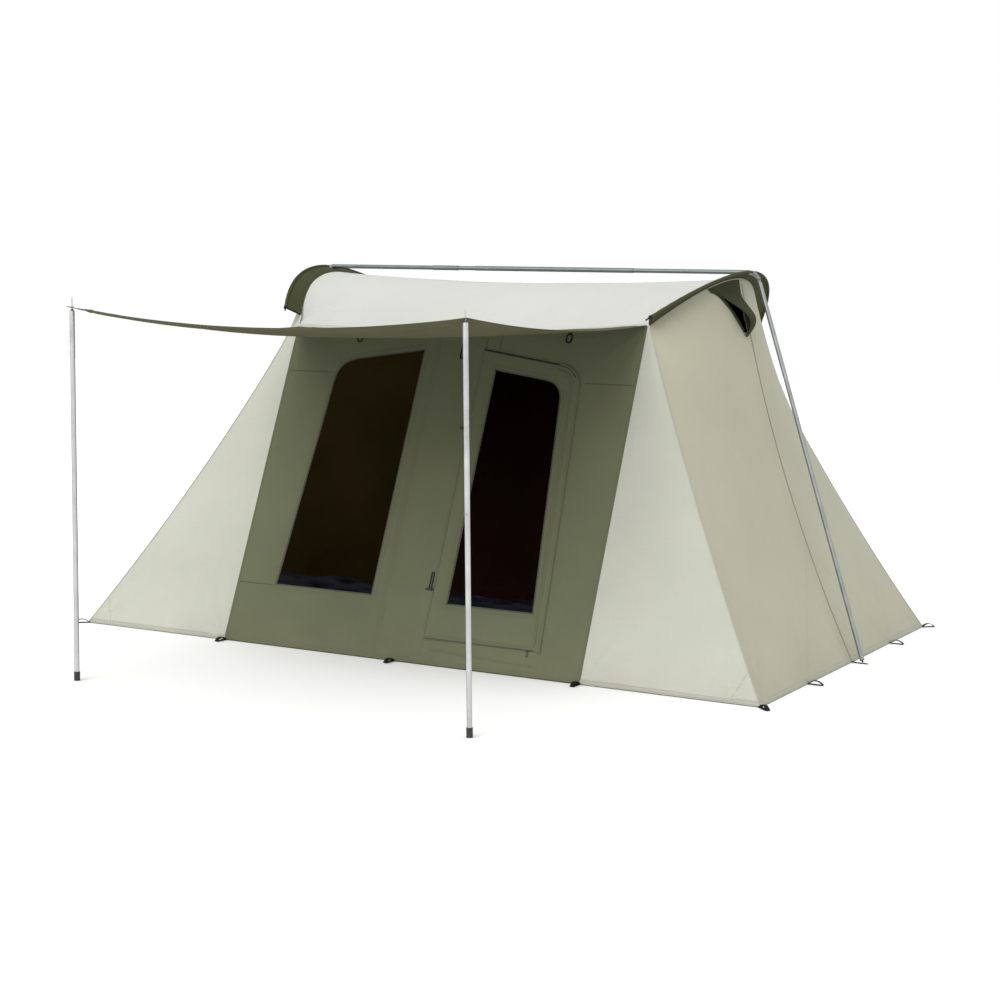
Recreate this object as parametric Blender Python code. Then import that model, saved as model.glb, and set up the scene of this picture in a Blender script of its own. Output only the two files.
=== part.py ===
"""Canvas cabin tent with sprung bows, an outside ridge pole and a front awning.

Metres, +Z up. X runs along the ridge, the front wall looks along -Y, and the
origin is the middle of the floor's underside. The canvas is modelled as thin
closed panels that meet at their seams, so each one can be taken off alone.
"""

import math

import bmesh
import bpy
from mathutils import Matrix, Vector

# Whole tent
FLOOR_HALF_WIDTH = 2.135
FLOOR_HALF_DEPTH = 1.525
EAVE_HEIGHT = 1.88
WALL_LEAN = math.radians(21.4)
CANVAS = 0.003
SEAM_GAP = 0.0003
FLOOR_THICKNESS = 0.003

# Panels of the canopy
PANEL_HALF_WIDTH = 1.13
GORE_TOP_WIDTH = 0.015
ROOF_END_REACH = 0.225
ROOF_RISE = 0.285
ROOF_SAG = 0.05
HIP_SAG_SIDE = 0.042
HIP_SAG_DEPTH = 0.033
END_SEAM_SAG = 0.08

# Faces along each panel
PANEL_ROWS = 13
ARCH_COLUMNS = 20
GORE_COLUMNS = 3
ROOF_COLUMNS = 10
AWNING_ROWS = 12
AWNING_COLUMNS = 12
TUBE_SIDES = 16
ROD_SIDES = 10

# Bows and the brows that hold them
BOW_ROD_RADIUS = 0.00475
BROW_TOP_REACH = 0.076
BROW_TIP_OUT = 0.0395
BROW_TIP_FORWARD = 0.0948
BROW_TIP_RISE = 0.04
BOW_TIP_LENGTH = 0.022
BROW_THICKNESS = 0.002
SLEEVE_RADIUS = 0.0085
SLEEVE_CLEARANCE = 0.0003
NOTCH_HALF_DEPTH = 0.034
NOTCH_REACH = 0.034

# Ridge pole
RIDGE_RISE = 0.035
RIDGE_TUBE_SETBACK = 0.022
RIDGE_TUBE_RADIUS = 0.0127
RIDGE_SLEEVE_RADIUS = 0.0145
TUBE_WALL = 0.0012
TUBE_CLEARANCE = 0.0003
RIDGE_SLEEVE_LEFT = -0.372
RIDGE_SLEEVE_RIGHT = 0.695
RIDGE_COLLAR_LEFT = -0.673
RIDGE_COLLAR_RIGHT = -0.494
RIDGE_OVERLAP = 0.35
RIDGE_BUTTON_INSET = 0.095
RIDGE_BUTTON_OUTSET = 0.022

# Ridge end fittings
FITTING_HALF_WIDTH = 0.012
FITTING_PLUG_LENGTH = 0.04
FITTING_PLATE_MARGIN = 0.0095
HINGE_PIN_OUT = 0.032
HINGE_PIN_DROP = 0.03
HINGE_PIN_RADIUS = 0.003
HINGE_PIN_CLEARANCE = 0.00025
TONGUE_HALF_WIDTH = 0.004
TONGUE_CLEARANCE = 0.0004
TONGUE_RADIUS = 0.0085
TONGUE_LENGTH = 0.03

# Upright poles at the end walls
POLE_RADIUS = 0.0127
UPRIGHT_FOOT_OUT = 0.065
UPRIGHT_JOINT_SHARE = 0.505
SWAGE_LENGTH = 0.085
SWAGE_RADIUS = 0.0112
BUTTON_RADIUS = 0.0032
BUTTON_CLEARANCE = 0.0003
BUTTON_PROUD = 0.0045
BUTTON_STEM = 0.006
BUTTON_TO_JOINT = 0.06
FOOT_PIN_RADIUS = 0.00475
FOOT_PIN_LENGTH = 0.075
FOOT_PIN_TIP = 0.016
FOOT_COLLAR_RADIUS = 0.0105
FOOT_COLLAR_LENGTH = 0.004
FOOT_TUBE_LIFT = 0.0005

# Stake loops and pole straps round the floor
LOOP_WIDTH = 0.025
LOOP_LENGTH = 0.08
LOOP_TUCK = 0.03
SIDE_LOOP_DEPTH = 0.78
POLE_STRAP_LENGTH = 0.095

# Vent hoods on the gables
HOOD_STANDOFF = 0.055
HOOD_THICKNESS = 0.002
HOOD_START_SHARE = 0.5
HOOD_END_SHARE = 0.045
HOOD_DROP = 0.335
HOOD_ROWS = 9
HOOD_COLUMNS = 7
HOOD_CLEARANCE = 0.0006

# Front and rear openings, in the plane of the wall: across and up the slope
DOOR_LEFT = 0.165
DOOR_BOTTOM = 0.145
DOOR_BOTTOM_RIGHT = 0.862
DOOR_TOP_RIGHT = 0.785
DOOR_TOP = 1.838
DOOR_SHOULDER = 1.745
DOOR_CORNER = 0.13
DOOR_CLEARANCE = 0.0012
DOOR_PROUD = 0.001
FLAP_WIDTH = 0.048
FLAP_OVERHANG = 0.014
FLAP_THICKNESS = 0.0017
FLAP_BITE = 0.0003
PORT_INSET = 0.09
PORT_BOTTOM = 0.345
PORT_BOTTOM_RIGHT = 0.792
PORT_TOP_RIGHT = 0.695
PORT_TOP = 1.73
PORT_SHOULDER = 1.665
PORT_CORNER = 0.11
WINDOW_INNER = 0.224
WINDOW_BOTTOM_OUTER = 0.872
WINDOW_TOP_OUTER = 0.79
WINDOW_BOTTOM = 0.355
WINDOW_TOP = 1.835
WINDOW_SHOULDER = 1.745
WINDOW_CORNER = 0.13
CORNER_POINTS = 6
MESH_MARGIN = 0.014
MESH_THICKNESS = 0.001

# Rolled window covers
ROLL_RADIUS = 0.024
ROLL_LAYER = 0.003
ROLL_LAYER_GAP = 0.0012
ROLL_TURNS = 3
ROLL_POINTS = 14
ROLL_END_INSET = 0.012

# Zip sliders at the foot of each door
SLIDER_LENGTH = 0.022
SLIDER_WIDTH = 0.011
SLIDER_THICKNESS = 0.005
SLIDER_INSET = 0.012
PULL_LENGTH = 0.034
PULL_WIDTH = 0.008
PULL_THICKNESS = 0.002
SLIDER_BEVEL = 0.0012

# Door ties and hanging loops
TIE_HEIGHTS = (0.52, 1.46)
TIE_INSET = 0.026
TIE_CORD_RADIUS = 0.0022
TIE_DROP = 0.1
TIE_HALF_WIDTH = 0.007
TOGGLE_RADIUS = 0.0065
TOGGLE_LENGTH = 0.045
HANGING_LOOP_X = 0.68
HANGING_LOOP_HALF_WIDTH = 0.02
HANGING_LOOP_DROP = 0.05
HANGING_LOOP_WEB = 0.008
HANGING_LOOP_THICKNESS = 0.002
HANGING_LOOP_BELOW_EAVE = 0.055

# Awning and its poles
AWNING_LEFT_HALF_WIDTH = 1.0724
AWNING_RIGHT_HALF_WIDTH = 1.1732
AWNING_REACH = 2.1518
AWNING_FRONT_RISE = 0.013
AWNING_FRONT_SAG = 0.075
AWNING_SIDE_SAG = 0.043
AWNING_BELLY = 0.036
AWNING_CORNER_REACH = 0.022
GROMMET_RADIUS = 0.0039
POLE_LEAN_LEFT = 0.0497
POLE_LEAN_RIGHT = 0.0789
POLE_JOINT_HEIGHT = 0.955
SPIKE_RADIUS = 0.003
SPIKE_LENGTH = 0.055
SPIKE_POINT = 0.012
SHOULDER_DROP = 0.006
SHOULDER_RADIUS = 0.004
TUBE_TOP_DROP = 0.017
CAP_HEIGHT = 0.045
CAP_SOLE = 0.006
CAP_WALL = 0.0022

OVERRUN = 0.01

# Places that follow from the sizes above
WALL_FOOT = FLOOR_THICKNESS + SEAM_GAP
EAVE_DEPTH = FLOOR_HALF_DEPTH - EAVE_HEIGHT * math.tan(WALL_LEAN)
EAVE_HALF_WIDTH = PANEL_HALF_WIDTH + GORE_TOP_WIDTH
ROOF_END_HALF_LENGTH = EAVE_HALF_WIDTH + ROOF_END_REACH
ROOF_END_HEIGHT = EAVE_HEIGHT + ROOF_RISE
BOW_APEX_HALF_LENGTH = ROOF_END_HALF_LENGTH + BROW_TOP_REACH
BOW_TIP_HALF_LENGTH = EAVE_HALF_WIDTH + BROW_TIP_OUT
BOW_TIP_DEPTH = EAVE_DEPTH + BROW_TIP_FORWARD
BOW_TIP_HEIGHT = EAVE_HEIGHT + BROW_TIP_RISE
RIDGE_HEIGHT = ROOF_END_HEIGHT + RIDGE_RISE
RIDGE_HALF_LENGTH = BOW_APEX_HALF_LENGTH - RIDGE_TUBE_SETBACK
HOOD_TIP_HEIGHT = ROOF_END_HEIGHT - HOOD_DROP
AWNING_FRONT_DEPTH = EAVE_DEPTH + AWNING_REACH
AWNING_FRONT_HEIGHT = EAVE_HEIGHT + AWNING_FRONT_RISE
WALL_INWARD = Vector((0, math.cos(WALL_LEAN), -math.sin(WALL_LEAN)))


def clear_scene():
    """Removes every object that the file opened with."""
    for obj in list(bpy.data.objects):
        bpy.data.objects.remove(obj, do_unlink=True)


def material(name, colour, roughness, metallic=0.0):
    """Returns a Principled material, made once per name."""
    found = bpy.data.materials.get(name)
    if found:
        return found
    made = bpy.data.materials.new(name)
    made.use_nodes = True
    shader = made.node_tree.nodes["Principled BSDF"]
    shader.inputs["Base Color"].default_value = (*colour, 1.0)
    shader.inputs["Roughness"].default_value = roughness
    shader.inputs["Metallic"].default_value = metallic
    return made


def green_canvas():
    return material("green_canvas", (0.105, 0.115, 0.068), 0.9)


def pale_canvas():
    return material("pale_canvas", (0.58, 0.58, 0.49), 0.9)


def roof_canvas():
    return material("roof_canvas", (0.76, 0.77, 0.72), 0.88)


def hood_canvas():
    return material("hood_canvas", (0.06, 0.07, 0.04), 0.9)


def mesh_cloth():
    return material("mesh_cloth", (0.012, 0.01, 0.008), 0.8)


def black_webbing():
    return material("black_webbing", (0.008, 0.008, 0.008), 0.8)


def navy_cloth():
    return material("navy_cloth", (0.018, 0.022, 0.035), 0.85)


def floor_vinyl():
    return material("floor_vinyl", (0.03, 0.03, 0.032), 0.6)


def galvanised_steel():
    return material("galvanised_steel", (0.62, 0.64, 0.64), 0.32, 1.0)


def spring_steel():
    return material("spring_steel", (0.05, 0.05, 0.05), 0.5, 0.6)


def black_plastic():
    return material("black_plastic", (0.015, 0.015, 0.015), 0.5)


def add_empty(name, location, rotation=(0.0, 0.0, 0.0), parent=None):
    """Adds an empty that carries other pieces."""
    empty = bpy.data.objects.new(name, None)
    empty.location = location
    empty.rotation_euler = rotation
    empty.parent = parent
    bpy.context.collection.objects.link(empty)
    return empty


def add_piece(name, mesh_data, finish, parent=None, smooth=None):
    """Turns a bmesh into a named object with one finish."""
    bmesh.ops.recalc_face_normals(mesh_data, faces=mesh_data.faces)
    mesh = bpy.data.meshes.new(name)
    mesh_data.to_mesh(mesh)
    mesh_data.free()
    mesh.materials.append(finish)
    if smooth is not None:
        mesh.shade_smooth()
        mesh.set_sharp_from_angle(angle=smooth)
    obj = bpy.data.objects.new(name, mesh)
    bpy.context.collection.objects.link(obj)
    obj.parent = parent
    return obj


def combine(obj, other, operation):
    """Adds a Boolean with another object, which is kept out of the part."""
    other.hide_render = True
    other.display_type = "WIRE"
    modifier = obj.modifiers.new(operation.lower(), "BOOLEAN")
    modifier.object = other
    modifier.operation = operation
    modifier.solver = "EXACT"
    return obj


def mix(first, second, share):
    """Point between two points."""
    return first.lerp(second, share)


def ring_body(rings, closed=False):
    """Skins rings of equal point count into one closed body."""
    made = bmesh.new()
    rows = [[made.verts.new(point) for point in ring] for ring in rings]
    count = len(rows[0])
    pairs = list(zip(rows, rows[1:]))
    if closed:
        pairs.append((rows[-1], rows[0]))
    for lower, upper in pairs:
        for i in range(count):
            j = (i + 1) % count
            made.faces.new((lower[i], lower[j], upper[j], upper[i]))
    if not closed:
        made.faces.new(rows[0])
        made.faces.new(rows[-1])
    return made


def circle_points(centre, first, second, radius, sides):
    """Points of a circle in the plane of two unit vectors."""
    points = []
    for i in range(sides):
        angle = 2 * math.pi * i / sides
        points.append(centre + (first * math.cos(angle) + second * math.sin(angle)) * radius)
    return points


def side_vectors(axis):
    """Two unit vectors square to an axis, the first as level as it can be."""
    axis = axis.normalized()
    level = Vector((0, 1, 0)) if abs(axis.y) < math.sqrt(0.5) else Vector((1, 0, 0))
    first = (level - axis * level.dot(axis)).normalized()
    return first, axis.cross(first)


def turned(start, axis, profile, sides):
    """Turned body: the profile is a list of (distance along axis, radius)."""
    axis = axis.normalized()
    first, second = side_vectors(axis)
    rings = [circle_points(start + axis * along, first, second, radius, sides) for along, radius in profile]
    return ring_body(rings)


def hollow(start, axis, length, radius, bore, sides):
    """Open tube with a straight bore."""
    axis = axis.normalized()
    first, second = side_vectors(axis)
    end = start + axis * length
    rings = [
        circle_points(start, first, second, radius, sides),
        circle_points(end, first, second, radius, sides),
        circle_points(end, first, second, bore, sides),
        circle_points(start, first, second, bore, sides),
    ]
    return ring_body(rings, closed=True)


def hollow_stepped(start, axis, outline, sides):
    """Open tube whose closed outline is a list of (distance, radius)."""
    axis = axis.normalized()
    first, second = side_vectors(axis)
    rings = [circle_points(start + axis * along, first, second, radius, sides) for along, radius in outline]
    return ring_body(rings, closed=True)


def plate(outline, low, high, holes=()):
    """Flat plate in X and Z between two depths along Y, with holes."""
    made = bmesh.new()
    edges = []
    for loop in (outline, *holes):
        verts = [made.verts.new((x, low, z)) for x, z in loop]
        for i, vert in enumerate(verts):
            edges.append(made.edges.new((vert, verts[(i + 1) % len(verts)])))
    bmesh.ops.triangle_fill(made, use_beauty=True, use_dissolve=False, edges=edges)
    swept = bmesh.ops.extrude_face_region(made, geom=list(made.faces))
    moved = [item for item in swept["geom"] if isinstance(item, bmesh.types.BMVert)]
    bmesh.ops.translate(made, verts=moved, vec=(0, high - low, 0))
    return made


def box(low, high):
    """Plain box between two corners."""
    made = bmesh.new()
    bmesh.ops.create_cube(made, size=1.0)
    centre = (low + high) / 2
    span = high - low
    bmesh.ops.transform(made, matrix=Matrix.Translation(centre) @ Matrix.Diagonal((*span, 1.0)), verts=made.verts)
    return made


def solve_offsets(normals, thicknesses):
    """The vector that has each given length along each of three normals."""
    rows = Matrix([list(normal) for normal in normals])
    return rows.inverted() @ Vector(thicknesses)


def mitre(first, second, thickness):
    """Offset that keeps one thickness on both sides of a seam."""
    return (first + second) * (thickness / (1.0 + first.dot(second)))


def grid_normals(grid):
    """Unit normal at each point of a grid, from its neighbours."""
    rows, columns = len(grid), len(grid[0])
    normals = []
    for i in range(rows):
        line = []
        for j in range(columns):
            along = grid[min(i + 1, rows - 1)][j] - grid[max(i - 1, 0)][j]
            across = grid[i][min(j + 1, columns - 1)] - grid[i][max(j - 1, 0)]
            line.append(along.cross(across).normalized())
        normals.append(line)
    return normals


def turned_inwards(normals, grid, inside):
    """Normals flipped, where needed, to point towards an inside point."""
    middle_row, middle_column = len(grid) // 2, len(grid[0]) // 2
    middle = normals[middle_row][middle_column]
    sign = 1.0 if middle.dot(inside - grid[middle_row][middle_column]) > 0 else -1.0
    return [[normal * sign for normal in line] for line in normals]


def drawn_in(grid, gap):
    """The same grid with each edge moved in by a gap, for the seams."""
    rows, columns = len(grid), len(grid[0])
    moved = [[point.copy() for point in line] for line in grid]
    for j in range(columns):
        for edge, inner in ((0, 1), (rows - 1, rows - 2)):
            moved[edge][j] += (grid[inner][j] - grid[edge][j]).normalized() * gap
    for i in range(rows):
        for edge, inner in ((0, 1), (columns - 1, columns - 2)):
            moved[i][edge] += (grid[i][inner] - grid[i][edge]).normalized() * gap
    return moved


def grid_body(outer, inner):
    """Closed body between an outer and an inner grid of the same size."""
    made = bmesh.new()
    top = [[made.verts.new(point) for point in line] for line in outer]
    low = [[made.verts.new(point) for point in line] for line in inner]
    rows, columns = len(outer), len(outer[0])
    for i in range(rows - 1):
        for j in range(columns - 1):
            made.faces.new((top[i][j], top[i][j + 1], top[i + 1][j + 1], top[i + 1][j]))
            made.faces.new((low[i + 1][j], low[i + 1][j + 1], low[i][j + 1], low[i][j]))
    for j in (0, columns - 1):
        edge_faces(made, [line[j] for line in top], [line[j] for line in low])
    for i in (0, rows - 1):
        edge_faces(made, top[i], low[i])
    return made


def edge_faces(made, upper, lower):
    """Closes an edge with triangles, so that facing panels split alike."""
    for i in range(len(upper) - 1):
        made.faces.new((upper[i], upper[i + 1], lower[i + 1]))
        made.faces.new((upper[i], lower[i + 1], lower[i]))


def wall_point(x, height):
    """Point on the outside of the front wall."""
    return Vector((x, height * math.tan(WALL_LEAN) - FLOOR_HALF_DEPTH, height))


def sagged(start, end, share, sag):
    """Point on a line that hangs towards the tent's middle."""
    return mix(start, end, share) - sag * (4 * share * (1 - share))


def hip_point(share):
    """Front right hip, from its ground corner to the eave corner."""
    ground = Vector((FLOOR_HALF_WIDTH, -FLOOR_HALF_DEPTH, WALL_FOOT))
    corner = Vector((EAVE_HALF_WIDTH, -EAVE_DEPTH, EAVE_HEIGHT))
    return sagged(ground, corner, share, Vector((HIP_SAG_SIDE, -HIP_SAG_DEPTH, 0)))


def end_seam_point(share):
    """Middle seam of the right end wall, from the ground to the roof."""
    ground = Vector((FLOOR_HALF_WIDTH, 0, WALL_FOOT))
    apex = Vector((ROOF_END_HALF_LENGTH, 0, ROOF_END_HEIGHT))
    return sagged(ground, apex, share, Vector((END_SEAM_SAG, 0, 0)))


def end_wall_point(up_share, across_share):
    """Right end wall; across_share runs from -1 at the front hip to 1."""
    hip, seam = hip_point(up_share), end_seam_point(up_share)
    reach = abs(across_share)
    side_share = reach ** (1 + up_share**2)
    x = seam.x + (hip.x - seam.x) * side_share
    z = seam.z + (hip.z - seam.z) * reach**2
    return Vector((x, -hip.y * across_share, z))


def roof_point(side_share, across_share):
    """Roof panel; side_share is -1 at the left end and 1 at the right."""
    edge = end_wall_point(1, across_share)
    sag = ROOF_SAG * (1 - side_share**2) * (1 - across_share**2)
    return Vector((edge.x * side_share, edge.y, edge.z - sag))


def even_shares(count, low=0.0, high=1.0):
    """Evenly spaced shares, both ends included."""
    return [low + (high - low) * i / count for i in range(count + 1)]


def roof_shares():
    """Columns of the roof, with one over each wall seam."""
    seam_share = PANEL_HALF_WIDTH / EAVE_HALF_WIDTH
    return [-1.0, *even_shares(ROOF_COLUMNS, -seam_share, seam_share), 1.0]


def mirrored(grid, side, front):
    """A right front grid moved to another corner of the tent."""
    return [[Vector((point.x * side, -point.y * front, point.z)) for point in line] for line in grid]


class Canopy:
    """Outer grids of the canvas panels and the offsets that they share."""

    def __init__(self):
        self.inside = Vector((0, 0, EAVE_HEIGHT / 2))
        ups = even_shares(PANEL_ROWS)
        acrosses = even_shares(ARCH_COLUMNS, -1.0, 1.0)
        self.end = [[end_wall_point(up, across) for across in acrosses] for up in ups]
        self.roof = [[roof_point(side, across) for side in roof_shares()] for across in acrosses]
        self.gore = []
        for up in ups:
            hip = hip_point(up)
            seam = wall_point(PANEL_HALF_WIDTH, hip.z)
            self.gore.append([mix(seam, hip, share) for share in even_shares(GORE_COLUMNS)])
        self.end_normals = turned_inwards(grid_normals(self.end), self.end, self.inside)
        self.roof_normals = turned_inwards(grid_normals(self.roof), self.roof, self.inside)
        self.gore_normals = turned_inwards(grid_normals(self.gore), self.gore, self.inside)

    def level(self, normal):
        """Offset that keeps a panel's foot level."""
        flat = Vector((normal.x, normal.y, 0)).normalized()
        return flat * (CANVAS / flat.dot(normal))

    def hip_offsets(self):
        """Offsets along the front right hip, shared by gore and end wall."""
        offsets = []
        up = Vector((0, 0, 1))
        for i in range(PANEL_ROWS + 1):
            first, second = self.gore_normals[i][-1], self.end_normals[i][0]
            if i == 0:
                offsets.append(solve_offsets((first, second, up), (CANVAS, CANVAS, 0)))
            elif i == PANEL_ROWS:
                eave = Vector((1, 0, 0)).cross(WALL_INWARD)
                offsets.append(solve_offsets((WALL_INWARD, second, eave), (CANVAS, CANVAS, 0)))
            else:
                offsets.append(mitre(first, second, CANVAS))
        return offsets

    def end_offsets(self):
        """Offsets of the right end wall."""
        offsets = [[normal * CANVAS for normal in line] for line in self.end_normals]
        offsets[0] = [self.level(normal) for normal in self.end_normals[0]]
        for j in range(ARCH_COLUMNS + 1):
            offsets[-1][j] = mitre(self.end_normals[-1][j], self.roof_normals[j][-1], CANVAS)
        for i, offset in enumerate(self.hip_offsets()):
            offsets[i][0] = offset
            offsets[i][-1] = Vector((offset.x, -offset.y, offset.z))
        return offsets

    def roof_offsets(self):
        """Offsets of the roof, its eaves leaning like the walls."""
        end = self.end_offsets()[-1]
        offsets = [[normal * CANVAS for normal in line] for line in self.roof_normals]
        for j, offset in enumerate(end):
            offsets[j][-1] = offset
            offsets[j][0] = Vector((-offset.x, offset.y, offset.z))
        for j in range(1, len(offsets[0]) - 1):
            lean = WALL_INWARD * (CANVAS / WALL_INWARD.dot(self.roof_normals[0][j]))
            offsets[0][j] = lean
            offsets[-1][j] = Vector((lean.x, -lean.y, lean.z))
        return offsets

    def gore_offsets(self):
        """Offsets of the front right gore."""
        offsets = [[normal * CANVAS for normal in line] for line in self.gore_normals]
        offsets[0] = [self.level(normal) for normal in self.gore_normals[0]]
        for line in offsets:
            line[0] = WALL_INWARD * CANVAS
        offsets[0][0] = self.level(WALL_INWARD)
        for i, offset in enumerate(self.hip_offsets()):
            offsets[i][-1] = offset
        lean = WALL_INWARD * (CANVAS / WALL_INWARD.dot(self.gore_normals[-1][0]))
        for j in range(1, GORE_COLUMNS):
            offsets[-1][j] = lean
        return offsets


def canvas_body(grid, offsets):
    """Panel of canvas, drawn in by half a seam gap all round."""
    inner = [[point + offset for point, offset in zip(*pair)] for pair in zip(grid, offsets)]
    return grid_body(drawn_in(grid, SEAM_GAP / 2), drawn_in(inner, SEAM_GAP / 2))


def build_canopy():
    """Roof, end walls and the four gores."""
    canopy = Canopy()
    soft = math.radians(50)
    add_piece("roof_panel", canvas_body(canopy.roof, canopy.roof_offsets()), roof_canvas(), smooth=soft)
    for side, name in ((1, "right"), (-1, "left")):
        grid = mirrored(canopy.end, side, -1)
        offsets = mirrored(canopy.end_offsets(), side, -1)
        add_piece(f"end_wall_{name}", canvas_body(grid, offsets), pale_canvas(), smooth=soft)
        for front, place in ((-1, "front"), (1, "rear")):
            grid = mirrored(canopy.gore, side, front)
            offsets = mirrored(canopy.gore_offsets(), side, front)
            add_piece(f"{place}_gore_{name}", canvas_body(grid, offsets), pale_canvas(), smooth=soft)


def shoulder_outline(left, bottom, right_low, right_high, top, shoulder, corner):
    """Outline of a door or window: upright left side, leaning right side,
    top edge that falls to a rounded corner."""
    reach = (right_low - right_high) * corner / (shoulder - bottom)
    below = Vector((right_high + reach, shoulder - corner))
    peak = Vector((right_high, shoulder))
    beside = peak + (Vector((left, top)) - peak).normalized() * corner
    points = [(left, bottom), (right_low, bottom)]
    for share in even_shares(CORNER_POINTS):
        first = mix(below, peak, share)
        second = mix(peak, beside, share)
        points.append(tuple(mix(first, second, share)))
    points.append((left, top))
    return points


def grown(outline, margin):
    """Outline moved outwards by a margin, inwards where it is negative."""
    points = [Vector(point) for point in outline]
    count = len(points)
    area = sum(points[i].x * points[(i + 1) % count].y - points[(i + 1) % count].x * points[i].y for i in range(count))
    turn = 1.0 if area > 0 else -1.0
    moved = []
    for i, point in enumerate(points):
        before = (point - points[i - 1]).normalized()
        after = (points[(i + 1) % count] - point).normalized()
        first = Vector((before.y, -before.x)) * turn
        second = Vector((after.y, -after.x)) * turn
        moved.append(tuple(point + (first + second) * (margin / (1 + first.dot(second)))))
    return moved


def door_outline():
    return shoulder_outline(
        DOOR_LEFT, DOOR_BOTTOM, DOOR_BOTTOM_RIGHT, DOOR_TOP_RIGHT, DOOR_TOP, DOOR_SHOULDER, DOOR_CORNER
    )


def port_outline():
    """Opening of the window in the door."""
    return shoulder_outline(
        DOOR_LEFT + PORT_INSET, PORT_BOTTOM, PORT_BOTTOM_RIGHT, PORT_TOP_RIGHT, PORT_TOP, PORT_SHOULDER, PORT_CORNER
    )


def window_outline():
    """Window beside the door, its leaning side away from the door."""
    right = shoulder_outline(
        WINDOW_INNER, WINDOW_BOTTOM, WINDOW_BOTTOM_OUTER, WINDOW_TOP_OUTER, WINDOW_TOP, WINDOW_SHOULDER, WINDOW_CORNER
    )
    return [(-x, z) for x, z in right]


def flap_outline():
    """Storm flap over the door's closing edge, between two offsets of it."""
    outer = grown(door_outline(), FLAP_OVERHANG)[1 : CORNER_POINTS + 3]
    inner = grown(door_outline(), FLAP_OVERHANG - FLAP_WIDTH)[1 : CORNER_POINTS + 3]
    return outer + inner[::-1]


def build_wall(place, turn):
    """One long wall with its window and its door, in the wall's plane."""
    frame = add_empty(
        f"{place}_wall_frame", (0, -FLOOR_HALF_DEPTH * math.cos(turn), 0), (-WALL_LEAN, 0, turn)
    )
    low = (WALL_FOOT + CANVAS * math.sin(WALL_LEAN)) / math.cos(WALL_LEAN)
    high = EAVE_HEIGHT / math.cos(WALL_LEAN) - SEAM_GAP / 2
    side = PANEL_HALF_WIDTH - SEAM_GAP / 2
    outline = [(-side, low), (side, low), (side, high), (-side, high)]
    holes = (grown(door_outline(), DOOR_CLEARANCE), window_outline())
    add_piece(f"{place}_wall_panel", plate(outline, 0, CANVAS, holes), green_canvas(), frame)

    behind = CANVAS + SEAM_GAP
    screen = plate(grown(window_outline(), MESH_MARGIN), behind, behind + MESH_THICKNESS)
    add_piece(f"{place}_window_mesh", screen, mesh_cloth(), frame)
    left, right = -WINDOW_BOTTOM_OUTER, -WINDOW_INNER
    roll = roll_body(left, right, behind + MESH_THICKNESS + SEAM_GAP, WINDOW_BOTTOM)
    add_piece(f"{place}_window_cover_roll", roll, navy_cloth(), frame)
    for height, level in zip(TIE_HEIGHTS, ("lower", "upper")):
        build_tie(f"{place}_door_tie_{level}", height, frame)
    build_door(place, frame)
    return frame


def build_door(place, frame):
    """Door that swings out on the seam at its left edge."""
    pivot = add_empty(f"{place}_door_pivot", (DOOR_LEFT, 0, 0), parent=frame)
    shift = Matrix.Translation((-DOOR_LEFT, 0, 0))

    def on_door(name, body, finish):
        bmesh.ops.transform(body, matrix=shift, verts=body.verts)
        return add_piece(name, body, finish, pivot)

    panel = on_door(
        f"{place}_door_panel", plate(door_outline(), -DOOR_PROUD, CANVAS, (port_outline(),)), green_canvas()
    )
    flap_low = -DOOR_PROUD + FLAP_BITE
    flap = on_door(f"{place}_door_flap_shape", plate(flap_outline(), flap_low - FLAP_THICKNESS, flap_low), green_canvas())
    combine(panel, flap, "UNION")

    behind = CANVAS + SEAM_GAP
    on_door(
        f"{place}_door_mesh", plate(grown(port_outline(), MESH_MARGIN), behind, behind + MESH_THICKNESS), mesh_cloth()
    )
    left, right = DOOR_LEFT + PORT_INSET, PORT_BOTTOM_RIGHT
    roll = roll_body(left, right, behind + MESH_THICKNESS + SEAM_GAP, PORT_BOTTOM)
    on_door(f"{place}_door_cover_roll", roll, navy_cloth())
    slider = slider_body()
    on_door(f"{place}_door_zip_slider", slider, black_plastic())


def roll_body(left, right, back, bottom):
    """Cover rolled up along the foot of an opening: one spiral of cloth."""
    pitch = ROLL_LAYER + ROLL_LAYER_GAP
    steps = ROLL_TURNS * ROLL_POINTS
    centre = Vector((back + ROLL_RADIUS, bottom + ROLL_RADIUS))
    outer, inner = [], []
    for i in range(steps + 1):
        turns = i / ROLL_POINTS
        angle = 2 * math.pi * turns
        radius = ROLL_RADIUS - pitch * turns
        ray = Vector((-math.cos(angle), math.sin(angle)))
        outer.append(centre + ray * radius)
        inner.append(centre + ray * (radius - ROLL_LAYER))
    section = outer + inner[::-1]
    ends = (left + ROLL_END_INSET, right - ROLL_END_INSET)
    made = bmesh.new()
    edges = []
    verts = [made.verts.new((ends[0], point.x, point.y)) for point in section]
    for i, vert in enumerate(verts):
        edges.append(made.edges.new((vert, verts[(i + 1) % len(verts)])))
    bmesh.ops.triangle_fill(made, use_beauty=False, use_dissolve=False, edges=edges)
    swept = bmesh.ops.extrude_face_region(made, geom=list(made.faces))
    moved = [item for item in swept["geom"] if isinstance(item, bmesh.types.BMVert)]
    bmesh.ops.translate(made, verts=moved, vec=(ends[1] - ends[0], 0, 0))
    return made


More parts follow.
